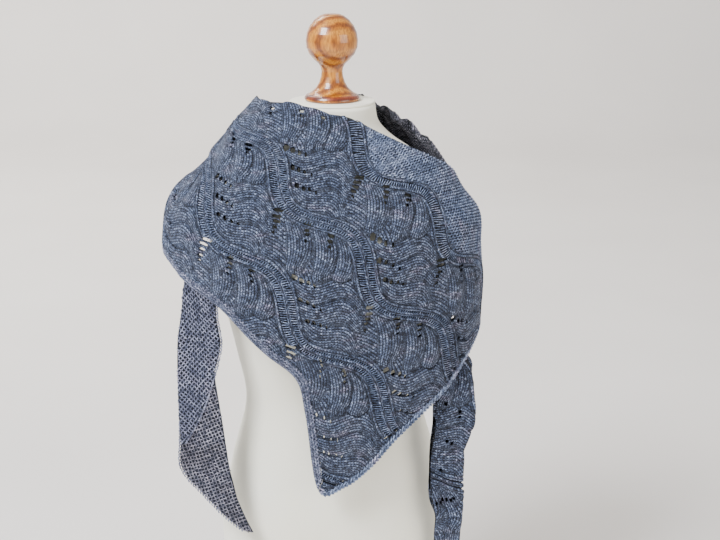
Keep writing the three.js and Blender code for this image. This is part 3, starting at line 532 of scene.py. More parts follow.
def knit_field(u, v):
    """Everything the knitting does at a place of the cloth."""
    even_u, even_v = unstretched(u, v)
    along, across = along_across(even_u, even_v)
    distance, number = nearest_spine(along, across)
    spine_height, gap = spine_field(distance, number, along)
    leaf = leaf_field(even_u, even_v, along)
    leaf_height, crease = leaf_relief(leaf)
    left, right = rib_places(along, number)
    edge = np.where(distance < 0, left, right) + RIB_HALF
    spine = smooth((edge + SPINE_FADE - np.abs(distance)) / SPINE_FADE)
    groove = GROOVE_DEEP * np.exp(-(((np.abs(distance) - edge - GROOVE_FROM) / GROOVE_WIDE) ** 2))
    height = spine * spine_height + (1 - spine) * (leaf_height - groove)
    # dark is painted shade: colour darkened in the ladders' gaps, the creases between leaves and
    # the grooves beside spines
    dark = 0.95 * spine * gap + (1 - spine) * (0.95 * crease + 0.6 * groove)
    on_leaf = (leaf["reach"] <= PLAIN_REACH) & (spine <= 0.5)
    wale = np.where(on_leaf, leaf["wale"], distance)
    course = np.where(on_leaf, leaf["course"], along)
    row = v - along_ridge(u)
    plain = (number == LAST_SPINE) & (distance > right + RIB_HALF)
    garter = smooth((distance - right - RIB_HALF) / 2) * plain
    height = height * (1 - garter) + GARTER_RISE * ridge_wave(row) * garter
    return {
        "height": height + fold_height(u, v),
        "wale": np.where(plain, row, wale) / WALE,
        "course": np.where(plain, 0, course) / COURSE,
        # on plain garter, painted shade darkens the colour between the ridges
        "dark": dark * (1 - garter) + garter * (0.62 - 0.3 * ridge_wave(row)),
        "knit": 1 - (1 - GARTER_RELIEF) * garter,
    }


# Meshes

UV_LAYERS = ("stitch", "cloth")


def make_object(name, points, quads, triangles=(), normals=None, layers=None):
    """A mesh object from arrays in millimetres, without the points that no face uses."""
    quads = np.asarray(quads, int).reshape(-1, 4)
    triangles = np.asarray(triangles, int).reshape(-1, 3)
    corners = np.concatenate([quads.ravel(), triangles.ravel()])
    used, index = np.unique(corners, return_inverse=True)
    mesh = bpy.data.meshes.new(name)
    mesh.vertices.add(len(used))
    mesh.vertices.foreach_set("co", (np.asarray(points)[used] * MM).astype(np.float32).ravel())
    mesh.loops.add(len(corners))
    mesh.loops.foreach_set("vertex_index", index.astype(np.int32))
    totals = np.concatenate([np.full(len(quads), 4), np.full(len(triangles), 3)])
    mesh.polygons.add(len(totals))
    mesh.polygons.foreach_set("loop_start", (np.cumsum(totals) - totals).astype(np.int32))
    mesh.update(calc_edges=True)
    mesh.shade_smooth()
    for layer, value in (layers or {}).items():
        if layer in UV_LAYERS:
            data = mesh.uv_layers.new(name=layer).data
            data.foreach_set("uv", np.asarray(value, np.float32)[used][index].ravel())
        else:
            data = mesh.attributes.new(layer, "FLOAT", "POINT").data
            data.foreach_set("value", np.asarray(value, np.float32)[used])
    if normals is not None:
        mesh.normals_split_custom_set_from_vertices(np.asarray(normals)[used].tolist())
    made = bpy.data.objects.new(name, mesh)
    bpy.context.scene.collection.objects.link(made)
    return made


def numbered_grid(points, first=0):
    """The numbers of a grid's points, row by row."""
    rows, columns = points.shape[:2]
    return first + np.arange(rows * columns).reshape(rows, columns)


def tube_quads(index):
    """Faces between rings of points, and each point's neighbour round its ring."""
    ahead = np.roll(index, -1, axis=1)
    return np.stack([index[:-1], ahead[:-1], ahead[1:], index[1:]], -1), ahead


def doubled(kept):
    return np.repeat(np.repeat(kept, 2, axis=0), 2, axis=1)


def grid_normals(points, kept):
    """Normals of a grid of points from its kept quads, so that pieces meet without a line."""
    cross = np.cross(points[1:, 1:] - points[:-1, :-1], points[:-1, 1:] - points[1:, :-1])
    cross = cross * kept[..., None]
    total = np.zeros_like(points)
    for j in (slice(None, -1), slice(1, None)):
        for i in (slice(None, -1), slice(1, None)):
            total[j, i] += cross
    return unit(total)


def rim_triangles(outer, inner, kept):
    """Faces round the open sides of the kept blocks, each block two fine cells wide."""
    padded = np.pad(kept, 1)
    found = []
    walk = {
        (0, -1): ((0, 0), (1, 0), (2, 0)),
        (0, 1): ((2, 2), (1, 2), (0, 2)),
        (-1, 0): ((0, 2), (0, 1), (0, 0)),
        (1, 0): ((2, 0), (2, 1), (2, 2)),
    }
    rows, columns = kept.shape
    for (down, right), steps in walk.items():
        beyond = padded[1 + down : 1 + down + rows, 1 + right : 1 + right + columns]
        q, p = np.nonzero(kept & ~beyond)
        fine = [outer[2 * q + a, 2 * p + b] for a, b in steps]
        coarse = [inner[q + a // 2, p + b // 2] for a, b in (steps[0], steps[2])]
        found += [
            np.stack([fine[0], coarse[0], fine[1]], -1),
            np.stack([fine[1], coarse[1], fine[2]], -1),
            np.stack([fine[1], coarse[0], coarse[1]], -1),
        ]
    return np.concatenate(found)


def cloth_piece(name, outer, inner, kept, layers, columns=None, flip=False):
    """A closed cloth wall from a fine outer grid and an inner grid on every second line.

    columns is the span of block columns that this piece takes of a wider grid.
    """
    normal = grid_normals(outer, doubled(kept)) * (-1 if flip else 1)
    first, last = columns or (0, kept.shape[1])
    fine = slice(2 * first, 2 * last + 1)
    coarse = slice(first, last + 1)
    outer, normal, kept = outer[:, fine], normal[:, fine], kept[:, first:last]
    inner = inner[:, coarse]
    outer_index = numbered_grid(outer)
    inner_index = numbered_grid(inner, outer_index.size)

    def cells(index, keep, turn):
        a, b = index[:-1, :-1], index[:-1, 1:]
        d, c = index[1:, :-1], index[1:, 1:]
        order = (a, b, c, d) if turn else (a, d, c, b)
        return np.stack(order, -1)[keep]

    quads = np.concatenate([
        cells(outer_index, doubled(kept), flip),
        cells(inner_index, kept, not flip),
    ])
    rims = rim_triangles(outer_index, inner_index, kept)
    if flip:
        rims = rims[:, ::-1]
    points = np.concatenate([outer.reshape(-1, 3), inner.reshape(-1, 3)])
    normals = np.concatenate([normal.reshape(-1, 3), -normal[::2, ::2].reshape(-1, 3)])
    made = {}
    for layer, value in layers.items():
        part = value[:, fine]
        flat = part.reshape(-1, *part.shape[2:])
        made[layer] = np.concatenate([flat, part[::2, ::2].reshape(-1, *part.shape[2:])])
    return make_object(name, points, quads, rims, normals, made)


def knit_layers(field, u, v):
    return {
        "stitch": np.stack([field["wale"], field["course"]], -1),
        "cloth": np.stack([u, v], -1) * MM,
        "dark": field["dark"],
        "knit": field["knit"],
    }


# Holes of the lace

POINT_LEVEL = -170  # below this the holes are drawn nearly shut
POINT_SHRINK = 0.45
HOLE_NEAR = 3  # a hole whose nearest block lies farther off is left out
HOLE_CUT = 0.62  # how much of a hole's half-width its dropped blocks fill
HOLE_WINDOW = 16  # fine cells that a hole may move, to each side
HOLE_SPREAD = 4  # half sizes from a hole's middle to where the cloth lies still


def garter_only(u, v):
    """Whether places of the cloth lie past the last spine."""
    along, across = along_across(*unstretched(u, v))
    distance, number = nearest_spine(along, across)
    return (number == LAST_SPINE) & (distance > rib_places(along, number)[1] + RIB_HALF + 1.5)


def lace_holes():
    """Every hole of the lace: its place on the cloth and its half sizes."""
    holes = []
    for n in SPINES:
        for i in range(-6, 7):
            origin = repeat_start(i, n)
            for u, v, du, dv, count, wide, high, shrink in EYELETS:
                for k in range(count):
                    size = 1 - shrink * k
                    tall = 1 - 0.5 * shrink * k
                    place = stretched(origin[0] + u + k * du, origin[1] + v + k * dv)
                    near_point = 1 - POINT_SHRINK * smooth((POINT_LEVEL - place[1]) / 20)
                    half = wide * size / 2 * near_point, high * tall / 2 * near_point
                    if not garter_only(*place):
                        holes.append((*place, *half))
    return np.array(holes)


def open_holes(holes, u, v):
    """Opens the holes in a grid: pushes the cloth aside round each and drops the block inside.

    Gives the moves along u and v, the kept blocks and the raised rim of the holes.
    """
    rows, columns = u.shape
    kept = np.ones(((rows - 1) // 2, (columns - 1) // 2), bool)
    move_u, move_v = np.zeros_like(u), np.zeros_like(v)
    rim = np.zeros_like(u)
    middle_u, middle_v = u[1::2, 1::2], v[1::2, 1::2]
    for hole_u, hole_v, wide, high in holes:
        away = np.hypot(middle_u - hole_u, middle_v - hole_v)
        q, p = np.unravel_index(np.argmin(away), away.shape)
        in_grid = 2 <= q <= kept.shape[0] - 3 and 1 <= p <= kept.shape[1] - 2
        if away[q, p] > HOLE_NEAR or not in_grid:
            continue
        centre_u, centre_v = middle_u[q, p], middle_v[q, p]
        cell = math.hypot(middle_u[q, p] - middle_u[q, p - 1], middle_v[q, p] - middle_v[q, p - 1])
        reach = max(0, min(2, int(round((wide * HOLE_CUT - cell / 2) / cell))))
        if p < reach + 1 or p + reach > kept.shape[1] - 2:
            continue
        kept[q, p - reach : p + reach + 1] = False
        j = slice(max(0, 2 * q + 1 - HOLE_WINDOW), 2 * q + 2 + HOLE_WINDOW)
        i = slice(max(0, 2 * p + 1 - HOLE_WINDOW), 2 * p + 2 + HOLE_WINDOW)
        du, dv = u[j, i] - centre_u, v[j, i] - centre_v
        far = np.maximum(np.hypot(du / wide, dv / high), 0.02)
        pushed = (far**3 + 1) ** (1 / 3)
        grow = pushed / far - 1
        grow = np.where(far < HOLE_SPREAD, grow, 0)
        move_u[j, i] += du * grow
        move_v[j, i] += dv * grow
        raised = np.exp(-(((pushed - 1.12) / 0.3) ** 2)) * (far < HOLE_SPREAD)
        rim[j, i] = np.maximum(rim[j, i], raised)
    return move_u, move_v, kept, rim


# The front of the shawl

FRONT_COLUMNS = 60  # of the solids, which give the edging's share of the front
POINT_COLUMN = 34  # the column of the triangle's point
POINT_SHARE = POINT_COLUMN / FRONT_COLUMNS
HEM_PULL = 0.4  # how far up the cloth its lengthwise lines keep the lean of the hem
EDGING_WIDTH = 12  # of the garter edging along the left leg
BRAID_WIDTH = 8  # of the braid along the right leg
EDGE_CHANGE = 0.04  # share of the front over which one width passes into the other
BAND_GAP = 0.03  # columns by which each edging stops short at its ends


def even_edge(rows, first, last):
    """Places evenly spaced along a stretch of one of the front's edges."""
    at = np.linspace(first, last, 12 * (last - first) + 1)
    theta, z = np.radians(rows.read("theta", at)), rows.read("z", at)
    lean = np.radians(rows.read("lean", at)) if "lean" in rows.columns else 0 * at
    points = cape_point(theta, z)
    length = path_length(*points.T)
    slope = np.arctan2(np.diff(z), np.diff(theta) * cape_radius(theta[:-1], z[:-1]))

    def place(t):
        want = t * length[-1]
        k = np.clip(np.searchsorted(length, want, side="right") - 1, 0, len(slope) - 1)
        found = {"theta": theta, "z": z, "lean": lean}
        found = {name: np.interp(want, length, value) for name, value in found.items()}
        return {**found, "slope": slope[k]}

    return place


TOP_LEFT = even_edge(FRONT_TOP, 0, TOP_MIDDLE)
TOP_RIGHT = even_edge(FRONT_TOP, TOP_MIDDLE, len(FRONT_TOP.key) - 1)
HEM_LEFT = even_edge(FRONT_HEM, 0, POINT_ROW)
HEM_RIGHT = even_edge(FRONT_HEM, POINT_ROW, len(FRONT_HEM.key) - 1)


def front_line(share):
    """The lengthwise line of the front at each share of its width: top, bend and hem."""
    left = share <= POINT_SHARE
    t_left = np.clip(share / POINT_SHARE, 0, 1)
    t_right = np.clip((share - POINT_SHARE) / (1 - POINT_SHARE), 0, 1)

    def either(one, other):
        a, b = one(t_left), other(t_right)
        return {name: np.where(left, a[name], b[name]) for name in a}

    top, hem = either(TOP_LEFT, TOP_RIGHT), either(HEM_LEFT, HEM_RIGHT)
    ends = cape_point(top["theta"], top["z"]) - cape_point(hem["theta"], hem["z"])
    length = np.linalg.norm(ends, axis=-1)
    pull = HEM_PULL * length
    bend = {
        "theta": hem["theta"] + pull * np.cos(hem["lean"]) / cape_radius(hem["theta"], hem["z"]),
        "z": hem["z"] + pull * np.sin(hem["lean"]),
    }
    return {"top": top, "bend": bend, "hem": hem, "length": length}


def front_place(line, down):
    """The direction and height of a share of the way down a lengthwise line."""
    return tuple(
        (1 - down) ** 2 * line["top"][name] + 2 * down * (1 - down) * line["bend"][name]
        + down**2 * line["hem"][name]
        for name in ("theta", "z")
    )


def hem_share(line, width):
    """The share of a lengthwise line that an edging of that width takes at its foot."""
    square = np.maximum(0.45, np.abs(np.sin(line["hem"]["lean"] - line["hem"]["slope"])))
    return width / square / (2 * HEM_PULL * line["length"])


def edge_width(share):
    blend = smooth((share - POINT_SHARE) / EDGE_CHANGE + 0.5)
    return EDGING_WIDTH + (BRAID_WIDTH - EDGING_WIDTH) * blend


def knit_over(theta, z, out, holes):
    """Opens the holes in a grid on the draped surface and raises its knitting.

    Gives the fine outer points, the inner points, the kept blocks, the layers and the points
    of the same cloth before its knitting is raised.
    """
    at, around, up, normal = cape_axes(theta, z)
    u, v = cloth_place(theta, z)
    move_u, move_v, kept, rim = open_holes(holes, u, v)
    field = knit_field(u + move_u, v + move_v)
    height = field["height"] + HOLE_RIM * rim
    # the painted shade is lessened on the raised rims round the holes
    field["dark"] = np.clip(field["dark"] * (1 - 0.7 * rim), 0, 1)
    moved = at + around * move_u[..., None] + up * move_v[..., None]
    outer = moved + normal * (out + height)[..., None]
    depth = out + fold_height(u, v)
    inner = (moved + normal * (depth - WALL)[..., None])[::2, ::2]
    smooth_points = at + normal * np.asarray(out)[..., None]
    return outer, inner, kept, knit_layers(field, u + move_u, v + move_v), smooth_points


def front_grid(columns, rows):
    share, down = np.meshgrid(np.linspace(0, 1, columns + 1), np.linspace(0, 1, rows + 1))
    line = front_line(share)
    panel = 1 - hem_share(line, edge_width(share) + SEAM)
    return front_place(line, down * panel)


# Strands of yarn

def add(tree, kind, settings=None, **inputs):
    """Adds a node, sets its properties and sets or links its inputs."""
    node = tree.nodes.new(kind)
    for name, value in (settings or {}).items():
        setattr(node, name, value)
    for name, value in inputs.items():
        key = int(name[1:]) if name[0] == "i" and name[1:].isdigit() else name.replace("_", " ")
        socket = node.inputs[key]
        if isinstance(value, bpy.types.NodeSocket):
            tree.links.new(value, socket)
        else:
            socket.default_value = value
    return node


def maths(tree, operation, first, second=0.0):
    return add(tree, "ShaderNodeMath", {"operation": operation}, i0=first, i1=second).outputs[0]


POINT_WAYS = ("run", "face", "size")  # what each strand's point carries


def strand_tree():
    """Lays one bent strand of yarn on every point, along its run and facing its face."""
    tree = bpy.data.node_groups.new("yarn_strands", "GeometryNodeTree")
    face = tree.interface
    face.new_socket("Geometry", in_out="OUTPUT", socket_type="NodeSocketGeometry")
    face.new_socket("Geometry", in_out="INPUT", socket_type="NodeSocketGeometry")
    for name in ("Length", "Rise", "Radius", "Flatness"):
        face.new_socket(name, in_out="INPUT", socket_type="NodeSocketFloat")
    for name in ("Steps", "Sides"):
        face.new_socket(name, in_out="INPUT", socket_type="NodeSocketInt")
    face.new_socket("Yarn", in_out="INPUT", socket_type="NodeSocketMaterial")
    given = add(tree, "NodeGroupInput")
    back = maths(tree, "MULTIPLY", given.outputs["Length"], -0.5)
    half = maths(tree, "MULTIPLY", given.outputs["Length"], 0.5)
    top = maths(tree, "MULTIPLY", given.outputs["Rise"], 2.0)
    start = add(tree, "ShaderNodeCombineXYZ", X=back)
    middle = add(tree, "ShaderNodeCombineXYZ", Z=top)
    end = add(tree, "ShaderNodeCombineXYZ", X=half)
    bent = add(tree, "GeometryNodeCurveQuadraticBezier", Start=start.outputs[0],
               Middle=middle.outputs[0], End=end.outputs[0], Resolution=given.outputs["Steps"])
    ring = add(tree, "GeometryNodeCurvePrimitiveCircle", Resolution=given.outputs["Sides"],
               Radius=given.outputs["Radius"])
    oval = add(tree, "ShaderNodeCombineXYZ", X=given.outputs["Flatness"], Y=1.0, Z=1.0)
    ring = add(tree, "GeometryNodeTransform", Geometry=ring.outputs[0], Scale=oval.outputs[0])
    strand = add(tree, "GeometryNodeCurveToMesh", Curve=bent.outputs[0],
                 Profile_Curve=ring.outputs[0], Fill_Caps=True)
    carried = [
        add(tree, "GeometryNodeInputNamedAttribute", {"data_type": "FLOAT_VECTOR"}, Name=name)
        for name in POINT_WAYS
    ]
    run, out, size = (node.outputs[0] for node in carried)
    aim = add(tree, "FunctionNodeAlignRotationToVector", {"axis": "X"}, Vector=run)
    lie = add(tree, "FunctionNodeAlignRotationToVector", {"axis": "Z", "pivot_axis": "X"},
              Rotation=aim.outputs[0], Vector=out)
    laid = add(tree, "GeometryNodeInstanceOnPoints", Points=given.outputs["Geometry"],
               Instance=strand.outputs[0], Rotation=lie.outputs[0], Scale=size)
    real = add(tree, "GeometryNodeRealizeInstances", Geometry=laid.outputs[0])
    shaded = add(tree, "GeometryNodeSetShadeSmooth", Geometry=real.outputs[0])
    dressed = add(tree, "GeometryNodeSetMaterial", Geometry=shaded.outputs[0],
                  Material=given.outputs["Yarn"])
    add(tree, "NodeGroupOutput", Geometry=dressed.outputs[0])
    return tree


STRANDS = strand_tree()

# Each kind of strand: its length, how far its middle rises, its radius and its flatness,
# with the faces along it and round it
STRAND_KINDS = {
    "rung": (6.0, 0.7, 0.48, 1.0, 3, 4),
    "purl": (3.9, 0.9, 0.64, 1.0, 2, 4),
    "net": (5.1, 1.5, 0.70, 1.0, 3, 4),
    "picot": (4.4, 1.8, 0.95, 1.0, 5, 5),
    "ridge": (4.2, 1.2, 0.76, 1.0, 3, 4),
    "chain": (6.8, 0.9, 1.25, 0.8, 6, 6),
}


def varied(count, random, low, high):
    """Sizes of strands, each drawn between two limits."""
    return np.ones((count, 3)) * random.uniform(low, high, (count, 1))


def laid_flat(way, normal):
    """A way turned into the surface with that normal."""
    return unit(way - normal * np.sum(way * normal, axis=-1, keepdims=True))


def lay_strands(name, kind, points, run, face, size, yarn, slot):
    """Strands of yarn on points in millimetres, as one plain and finished mesh."""
    length, rise, radius, flatness, steps, sides = STRAND_KINDS[kind]
    mesh = bpy.data.meshes.new(name + "_points")
    mesh.from_pydata((points * MM).tolist(), [], [])
    for layer, value in zip(POINT_WAYS, (run, face, size)):
        data = mesh.attributes.new(layer, "FLOAT_VECTOR", "POINT").data
        data.foreach_set("vector", np.asarray(value, np.float32).ravel())
    carrier = bpy.data.objects.new(name + "_points", mesh)
    bpy.context.scene.collection.objects.link(carrier)
    modifier = carrier.modifiers.new("strands", "NODES")
    modifier.node_group = STRANDS
    values = {"Length": length * MM, "Rise": rise * MM, "Radius": radius * MM,
              "Flatness": flatness, "Steps": steps, "Sides": sides, "Yarn": yarn}
    for item in STRANDS.interface.items_tree:
        if item.in_out == "INPUT" and item.name in values:
            modifier[item.identifier] = values[item.name]
    graph = bpy.context.evaluated_depsgraph_get()
    plain = bpy.data.meshes.new_from_object(carrier.evaluated_get(graph))
    plain.name = name
    bpy.data.objects.remove(carrier)
    bpy.data.meshes.remove(mesh)
    made = bpy.data.objects.new(name, plain)
    bpy.context.scene.collection.objects.link(made)
    return finish_piece(made, yarn, slot)


# Materials

def linear(code):
    """The linear colour of an sRGB hex value."""
    parts = [int(code[k : k + 2], 16) / 255 for k in (1, 3, 5)]
    return (*(c / 12.92 if c <= 0.04045 else ((c + 0.055) / 1.055) ** 2.4 for c in parts), 1.0)


def new_material(name, **shader):
    """A material with its surface shader, whose even settings sit on the sockets."""
    material = bpy.data.materials.new(name)
    material.use_nodes = True
    tree = material.node_tree
    surface = tree.nodes["Principled BSDF"]
    for socket, value in shader.items():
        surface.inputs[socket.replace("_", " ")].default_value = value
    return material, tree, surface


def dress_surface(tree, surface, colour, height=None, strength=1.0, distance=1.0):
    """Gives a surface its colour, and its relief where it has one, in millimetres."""
    tree.links.new(colour, surface.inputs["Base Color"])
    if height is not None:
        bump = add(tree, "ShaderNodeBump", Strength=strength, Distance=distance * MM, Height=height)
        tree.links.new(bump.outputs[0], surface.inputs["Normal"])


def ramp(tree, factor, stops):
    node = add(tree, "ShaderNodeValToRGB", i0=factor)
    band = node.color_ramp.elements
    while len(band) < len(stops):
        band.new(0.5)
    for element, (place, code) in zip(band, stops):
        element.position = place
        element.color = linear(code)
    return node.outputs["Color"]


def mixed(tree, kind, factor, first, second):
    node = add(tree, "ShaderNodeMix", {"data_type": "RGBA", "blend_type": kind},
               i0=factor, i6=first, i7=second)
    return node.outputs[2]


def dyed_wool(tree, place, tones):
    """Hand-dyed wool: soft streaks of a few near tones, with lighter flecks."""
    streak = add(tree, "ShaderNodeMapping", Vector=place, Scale=(1.0, 2.6, 1.0),
                 Rotation=(0, 0, math.radians(-12)))
    cloud = add(tree, "ShaderNodeTexNoise", Vector=streak.outputs[0], Scale=26.0, Detail=3.0,
                Roughness=0.6)
    blotch = add(tree, "ShaderNodeTexNoise", Vector=place, Scale=150.0, Detail=1.0)
    fleck = add(tree, "ShaderNodeTexNoise", Vector=place, Scale=420.0, Detail=1.0)
    colour = ramp(tree, cloud.outputs[0], tones)
    light = ramp(tree, fleck.outputs[0], [(0.38, "#9A9AA0"), (0.62, "#FFFFFF")])
    deep = ramp(tree, blotch.outputs[0], [(0.36, "#A2A4AC"), (0.6, "#FFFFFF")])
    return mixed(tree, "MULTIPLY", 1.0, mixed(tree, "MULTIPLY", 1.0, colour, light), deep)


WOOL_TONES = [(0.3, "#8092B4"), (0.45, "#9BADD0"), (0.56, "#B3C2E0"), (0.68, "#C8C5E2")]
# a darker, browner copy of the wool's tones for the collar and the tail's under layer, which lie in
# shade: painted shade
SHADE_TONES = [(0.28, "#85808A"), (0.46, "#A09DA8"), (0.58, "#B2B1C0"), (0.75, "#BEB6C2")]
SOFT_TONES = [(0.28, "#888DA8"), (0.46, "#9DA2BC"), (0.58, "#AFB3CC"), (0.75, "#C2BDD2")]
# near-black colour that the dark attribute mixes in: the painted shade of gaps, creases and garter
# valleys
PAINTED_GAP_SHADE = "#0D1017"


def knit_material(name, tones):
    """Knitted wool: V-shaped stitches in columns, softly fuzzy, with painted shade in its gaps,
    creases and between its stitch legs.

    Its columns of stitches are 3.8 mm apart, as the yarn gives.
    """
    material, tree, surface = new_material(
        name, Roughness=0.72, Sheen_Weight=0.1, Sheen_Roughness=0.5,
        Sheen_Tint=linear("#B9C3DA"), Specular_IOR_Level=0.35)
    stitch = add(tree, "ShaderNodeUVMap", {"uv_map": "stitch"})
    cloth = add(tree, "ShaderNodeUVMap", {"uv_map": "cloth"})
    dark = add(tree, "ShaderNodeAttribute", {"attribute_name": "dark"})
    knit = add(tree, "ShaderNodeAttribute", {"attribute_name": "knit"})
    split = add(tree, "ShaderNodeSeparateXYZ", Vector=stitch.outputs[0])
    wale = maths(tree, "SUBTRACT", maths(tree, "FRACT", split.outputs[0]), 0.5)
    side = maths(tree, "ABSOLUTE", wale)
    crown = maths(tree, "COSINE", maths(tree, "MULTIPLY", side, math.pi))
    crown = maths(tree, "POWER", maths(tree, "MAXIMUM", crown, 0.0), 0.8)
    lean = maths(tree, "SUBTRACT", split.outputs[1], maths(tree, "MULTIPLY", side, 1.6))
    leg = maths(tree, "ABSOLUTE", maths(tree, "SUBTRACT", maths(tree, "FRACT", lean), 0.5))
    leg = maths(tree, "SUBTRACT", 1.0, maths(tree, "POWER", maths(tree, "MULTIPLY", leg, 2.0), 1.6))
    leg = maths(tree, "ADD", maths(tree, "MULTIPLY", leg, 0.8), 0.2)
    height = maths(tree, "MULTIPLY", maths(tree, "MULTIPLY", crown, leg), knit.outputs["Fac"])
    fuzz = add(tree, "ShaderNodeTexNoise", Vector=cloth.outputs[0], Scale=900.0, Detail=3.0)
    rough = maths(tree, "ADD", height, maths(tree, "MULTIPLY", fuzz.outputs[0], 0.4))
    wool = dyed_wool(tree, cloth.outputs[0], tones)
    even = maths(tree, "SUBTRACT", 1.0, knit.outputs["Fac"])
    # painted shade: the colour darkens towards the low places between stitch legs and columns
    shade = ramp(tree, maths(tree, "ADD", height, even),
                 [(0.06, "#14161B"), (0.38, "#737883"), (0.64, "#E2E6EE"), (0.88, "#FFFFFF")])
    each = add(tree, "ShaderNodeCombineXYZ", X=maths(tree, "FLOOR", split.outputs[0]),
               Y=maths(tree, "FLOOR", lean))
    chance = add(tree, "ShaderNodeTexWhiteNoise", {"noise_dimensions": "2D"},
                 Vector=each.outputs[0])
    own = ramp(tree, chance.outputs["Value"], [(0.0, "#7E828D"), (0.75, "#FFFFFF")])
    lit = mixed(tree, "MULTIPLY", 1.0, mixed(tree, "MULTIPLY", 1.0, wool, own), shade)
    # mixes in the painted shade of gaps and creases
    colour = mixed(tree, "MIX", dark.outputs["Fac"], lit, linear(PAINTED_GAP_SHADE))
    dress_surface(tree, surface, colour, rough, 1.0, 1.6)
    return material


def strand_material(name, tones):
    """A strand of plied wool: fine twisted plies and loose fibres."""
    material, tree, surface = new_material(
        name, Roughness=0.85, Sheen_Weight=0.25, Sheen_Roughness=0.5,
        Sheen_Tint=linear("#B9C3DA"), Specular_IOR_Level=0.3)
    place = add(tree, "ShaderNodeTexCoord").outputs["Object"]
    ply = add(tree, "ShaderNodeTexWave", {"bands_direction": "DIAGONAL"}, Vector=place,
              Scale=260.0, Distortion=2.0)
    fuzz = add(tree, "ShaderNodeTexNoise", Vector=place, Scale=1400.0)
    height = maths(tree, "ADD", ply.outputs["Fac"], fuzz.outputs[0])
    dress_surface(tree, surface, dyed_wool(tree, place, tones), height, 0.5, 0.4)
    return material


def jersey_material():
    """Cream cotton jersey stretched over the form: smooth, matt, with fine knit lines."""
    material, tree, surface = new_material(
        "cream_cotton_jersey", Roughness=0.8, Sheen_Weight=0.12, Specular_IOR_Level=0.25)
    place = add(tree, "ShaderNodeTexCoord").outputs["Object"]
    cloud = add(tree, "ShaderNodeTexNoise", Vector=place, Scale=7.0, Detail=2.0)
    colour = ramp(tree, cloud.outputs[0], [(0.3, "#F1EEDC"), (0.7, "#F8F6E8")])
    line = add(tree, "ShaderNodeTexWave", {"bands_direction": "Z"}, Vector=place, Scale=260.0,
               Distortion=0.6)
    dress_surface(tree, surface, colour, line.outputs["Fac"], 0.25, 0.25)
    return material


def beech_material(name, tones, grain):
    """Stained beech under gloss varnish: long grain rings, short dark flecks, a clear coat."""
    material, tree, surface = new_material(
        name, Roughness=0.34, Coat_Weight=0.6, Coat_Roughness=0.07, Specular_IOR_Level=0.5)
    place = add(tree, "ShaderNodeTexCoord").outputs["Object"]
    drawn = add(tree, "ShaderNodeMapping", Vector=place, Scale=(1.0, 1.0, 0.16),
                Rotation=(math.radians(7), math.radians(4), 0))
    ring = add(tree, "ShaderNodeTexWave", {"wave_type": "RINGS", "rings_direction": "Z"},
               Vector=drawn.outputs[0], Scale=grain, Distortion=3.2, Detail=2.0, Detail_Scale=1.5)
    fleck = add(tree, "ShaderNodeTexNoise", Vector=drawn.outputs[0], Scale=520.0, Detail=2.0)
    wood = ramp(tree, ring.outputs["Fac"], tones)
    dark = ramp(tree, fleck.outputs[0], [(0.42, "#9A8478"), (0.56, "#FFFFFF")])
    dress_surface(tree, surface, mixed(tree, "MULTIPLY", 0.55, wood, dark))
    return material


def studio_paper():
    """Matt pale paper of the studio's floor and wall."""
    material, tree, surface = new_material("pale_studio_paper", Roughness=0.95,
                                           Specular_IOR_Level=0.1)
    place = add(tree, "ShaderNodeTexCoord").outputs["Object"]
    cloud = add(tree, "ShaderNodeTexNoise", Vector=place, Scale=2.0)
    dress_surface(tree, surface, ramp(tree, cloud.outputs[0], [(0.3, "#E6E2DE"), (0.7, "#EBE7E3")]))
    return material


LACE_KNIT = knit_material("lace_knit_wool", WOOL_TONES)
# the same knit, darker and browner: painted shade
SHADE_KNIT = knit_material("painted_shade_knit_wool", SHADE_TONES)
YARN_STRAND = strand_material("plied_wool_yarn", WOOL_TONES)
# the same yarn, darker and browner: painted shade
SHADE_STRAND = strand_material("painted_shade_plied_yarn", SHADE_TONES)
EDGE_STRAND = strand_material("edging_plied_yarn", SOFT_TONES)
JERSEY = jersey_material()
AMBER_BEECH = beech_material(
    "amber_varnished_beech", [(0.1, "#8A4A08"), (0.5, "#B56C12"), (0.9, "#CA8424")], 34.0)
RED_BEECH = beech_material(
    "russet_varnished_beech", [(0.1, "#5E2410"), (0.5, "#7C3416"), (0.9, "#8F431F")], 34.0)


def finish_piece(piece, material, slot, *nodes):
    """Gives a piece its material, hangs it on the body it rides on and hides the solids it stands
    for; slot is not used.
    """
    piece.data.materials.clear()
    piece.data.materials.append(material)
    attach(piece, BODY)
    if nodes:
        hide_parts(*nodes)
    return piece


# Where strands lie on the draped surface

POINT_TURN = -4  # degrees: left of this lies the garter edging, right of it the braid


def between_edges(edges, at, z, below_top, above_hem):
    """Whether places lie between the two edges of a wing, and clear of them."""
    return (z < edges.read("top", at) - below_top) & (z > edges.read("hem", at) + above_hem)


def inside_front(theta, z):
    """Whether places lie on the front's own panel, clear of its edging."""
    at = np.degrees(theta)
    hem_theta, hem_z = FRONT_HEM.columns["theta"], FRONT_HEM.columns["z"]
    hem = np.interp(at, hem_theta, hem_z)
    steep = np.abs(np.interp(at + 1, hem_theta, hem_z) - np.interp(at - 1, hem_theta, hem_z))
    steep = steep / (2 * np.radians(1) * cape_radius(theta, z))
    edge = np.where(at < POINT_TURN, EDGING_WIDTH, BRAID_WIDTH) + 3
    top = np.interp(at, FRONT_TOP.columns["theta"], FRONT_TOP.columns["z"])
    inside = np.abs(at) < SIDE - SIDE_CLEAR
    return inside & (z < top - 1.5) & (z > hem + edge * np.hypot(1, steep))


def inside_wing(theta, z):
    at = np.degrees(theta)
    return (at < -SIDE) & (at > COLLAR_START) & between_edges(LACE_WING, at, z, 2, 2)


def in_collar(theta, z):
    at = np.degrees(theta)
    inside = (at < COLLAR_START - 1) & (at > COLLAR_END + 1)
    return inside & between_edges(LACE_WING, at, z, 1, 2)


def in_garter_wing(theta, z):
    at = np.degrees(theta)
    inside = (at > SIDE + SIDE_CLEAR) & (at < GARTER_END - 1)
    return inside & between_edges(GARTER_WING, at, z, 1.5, 1.5)


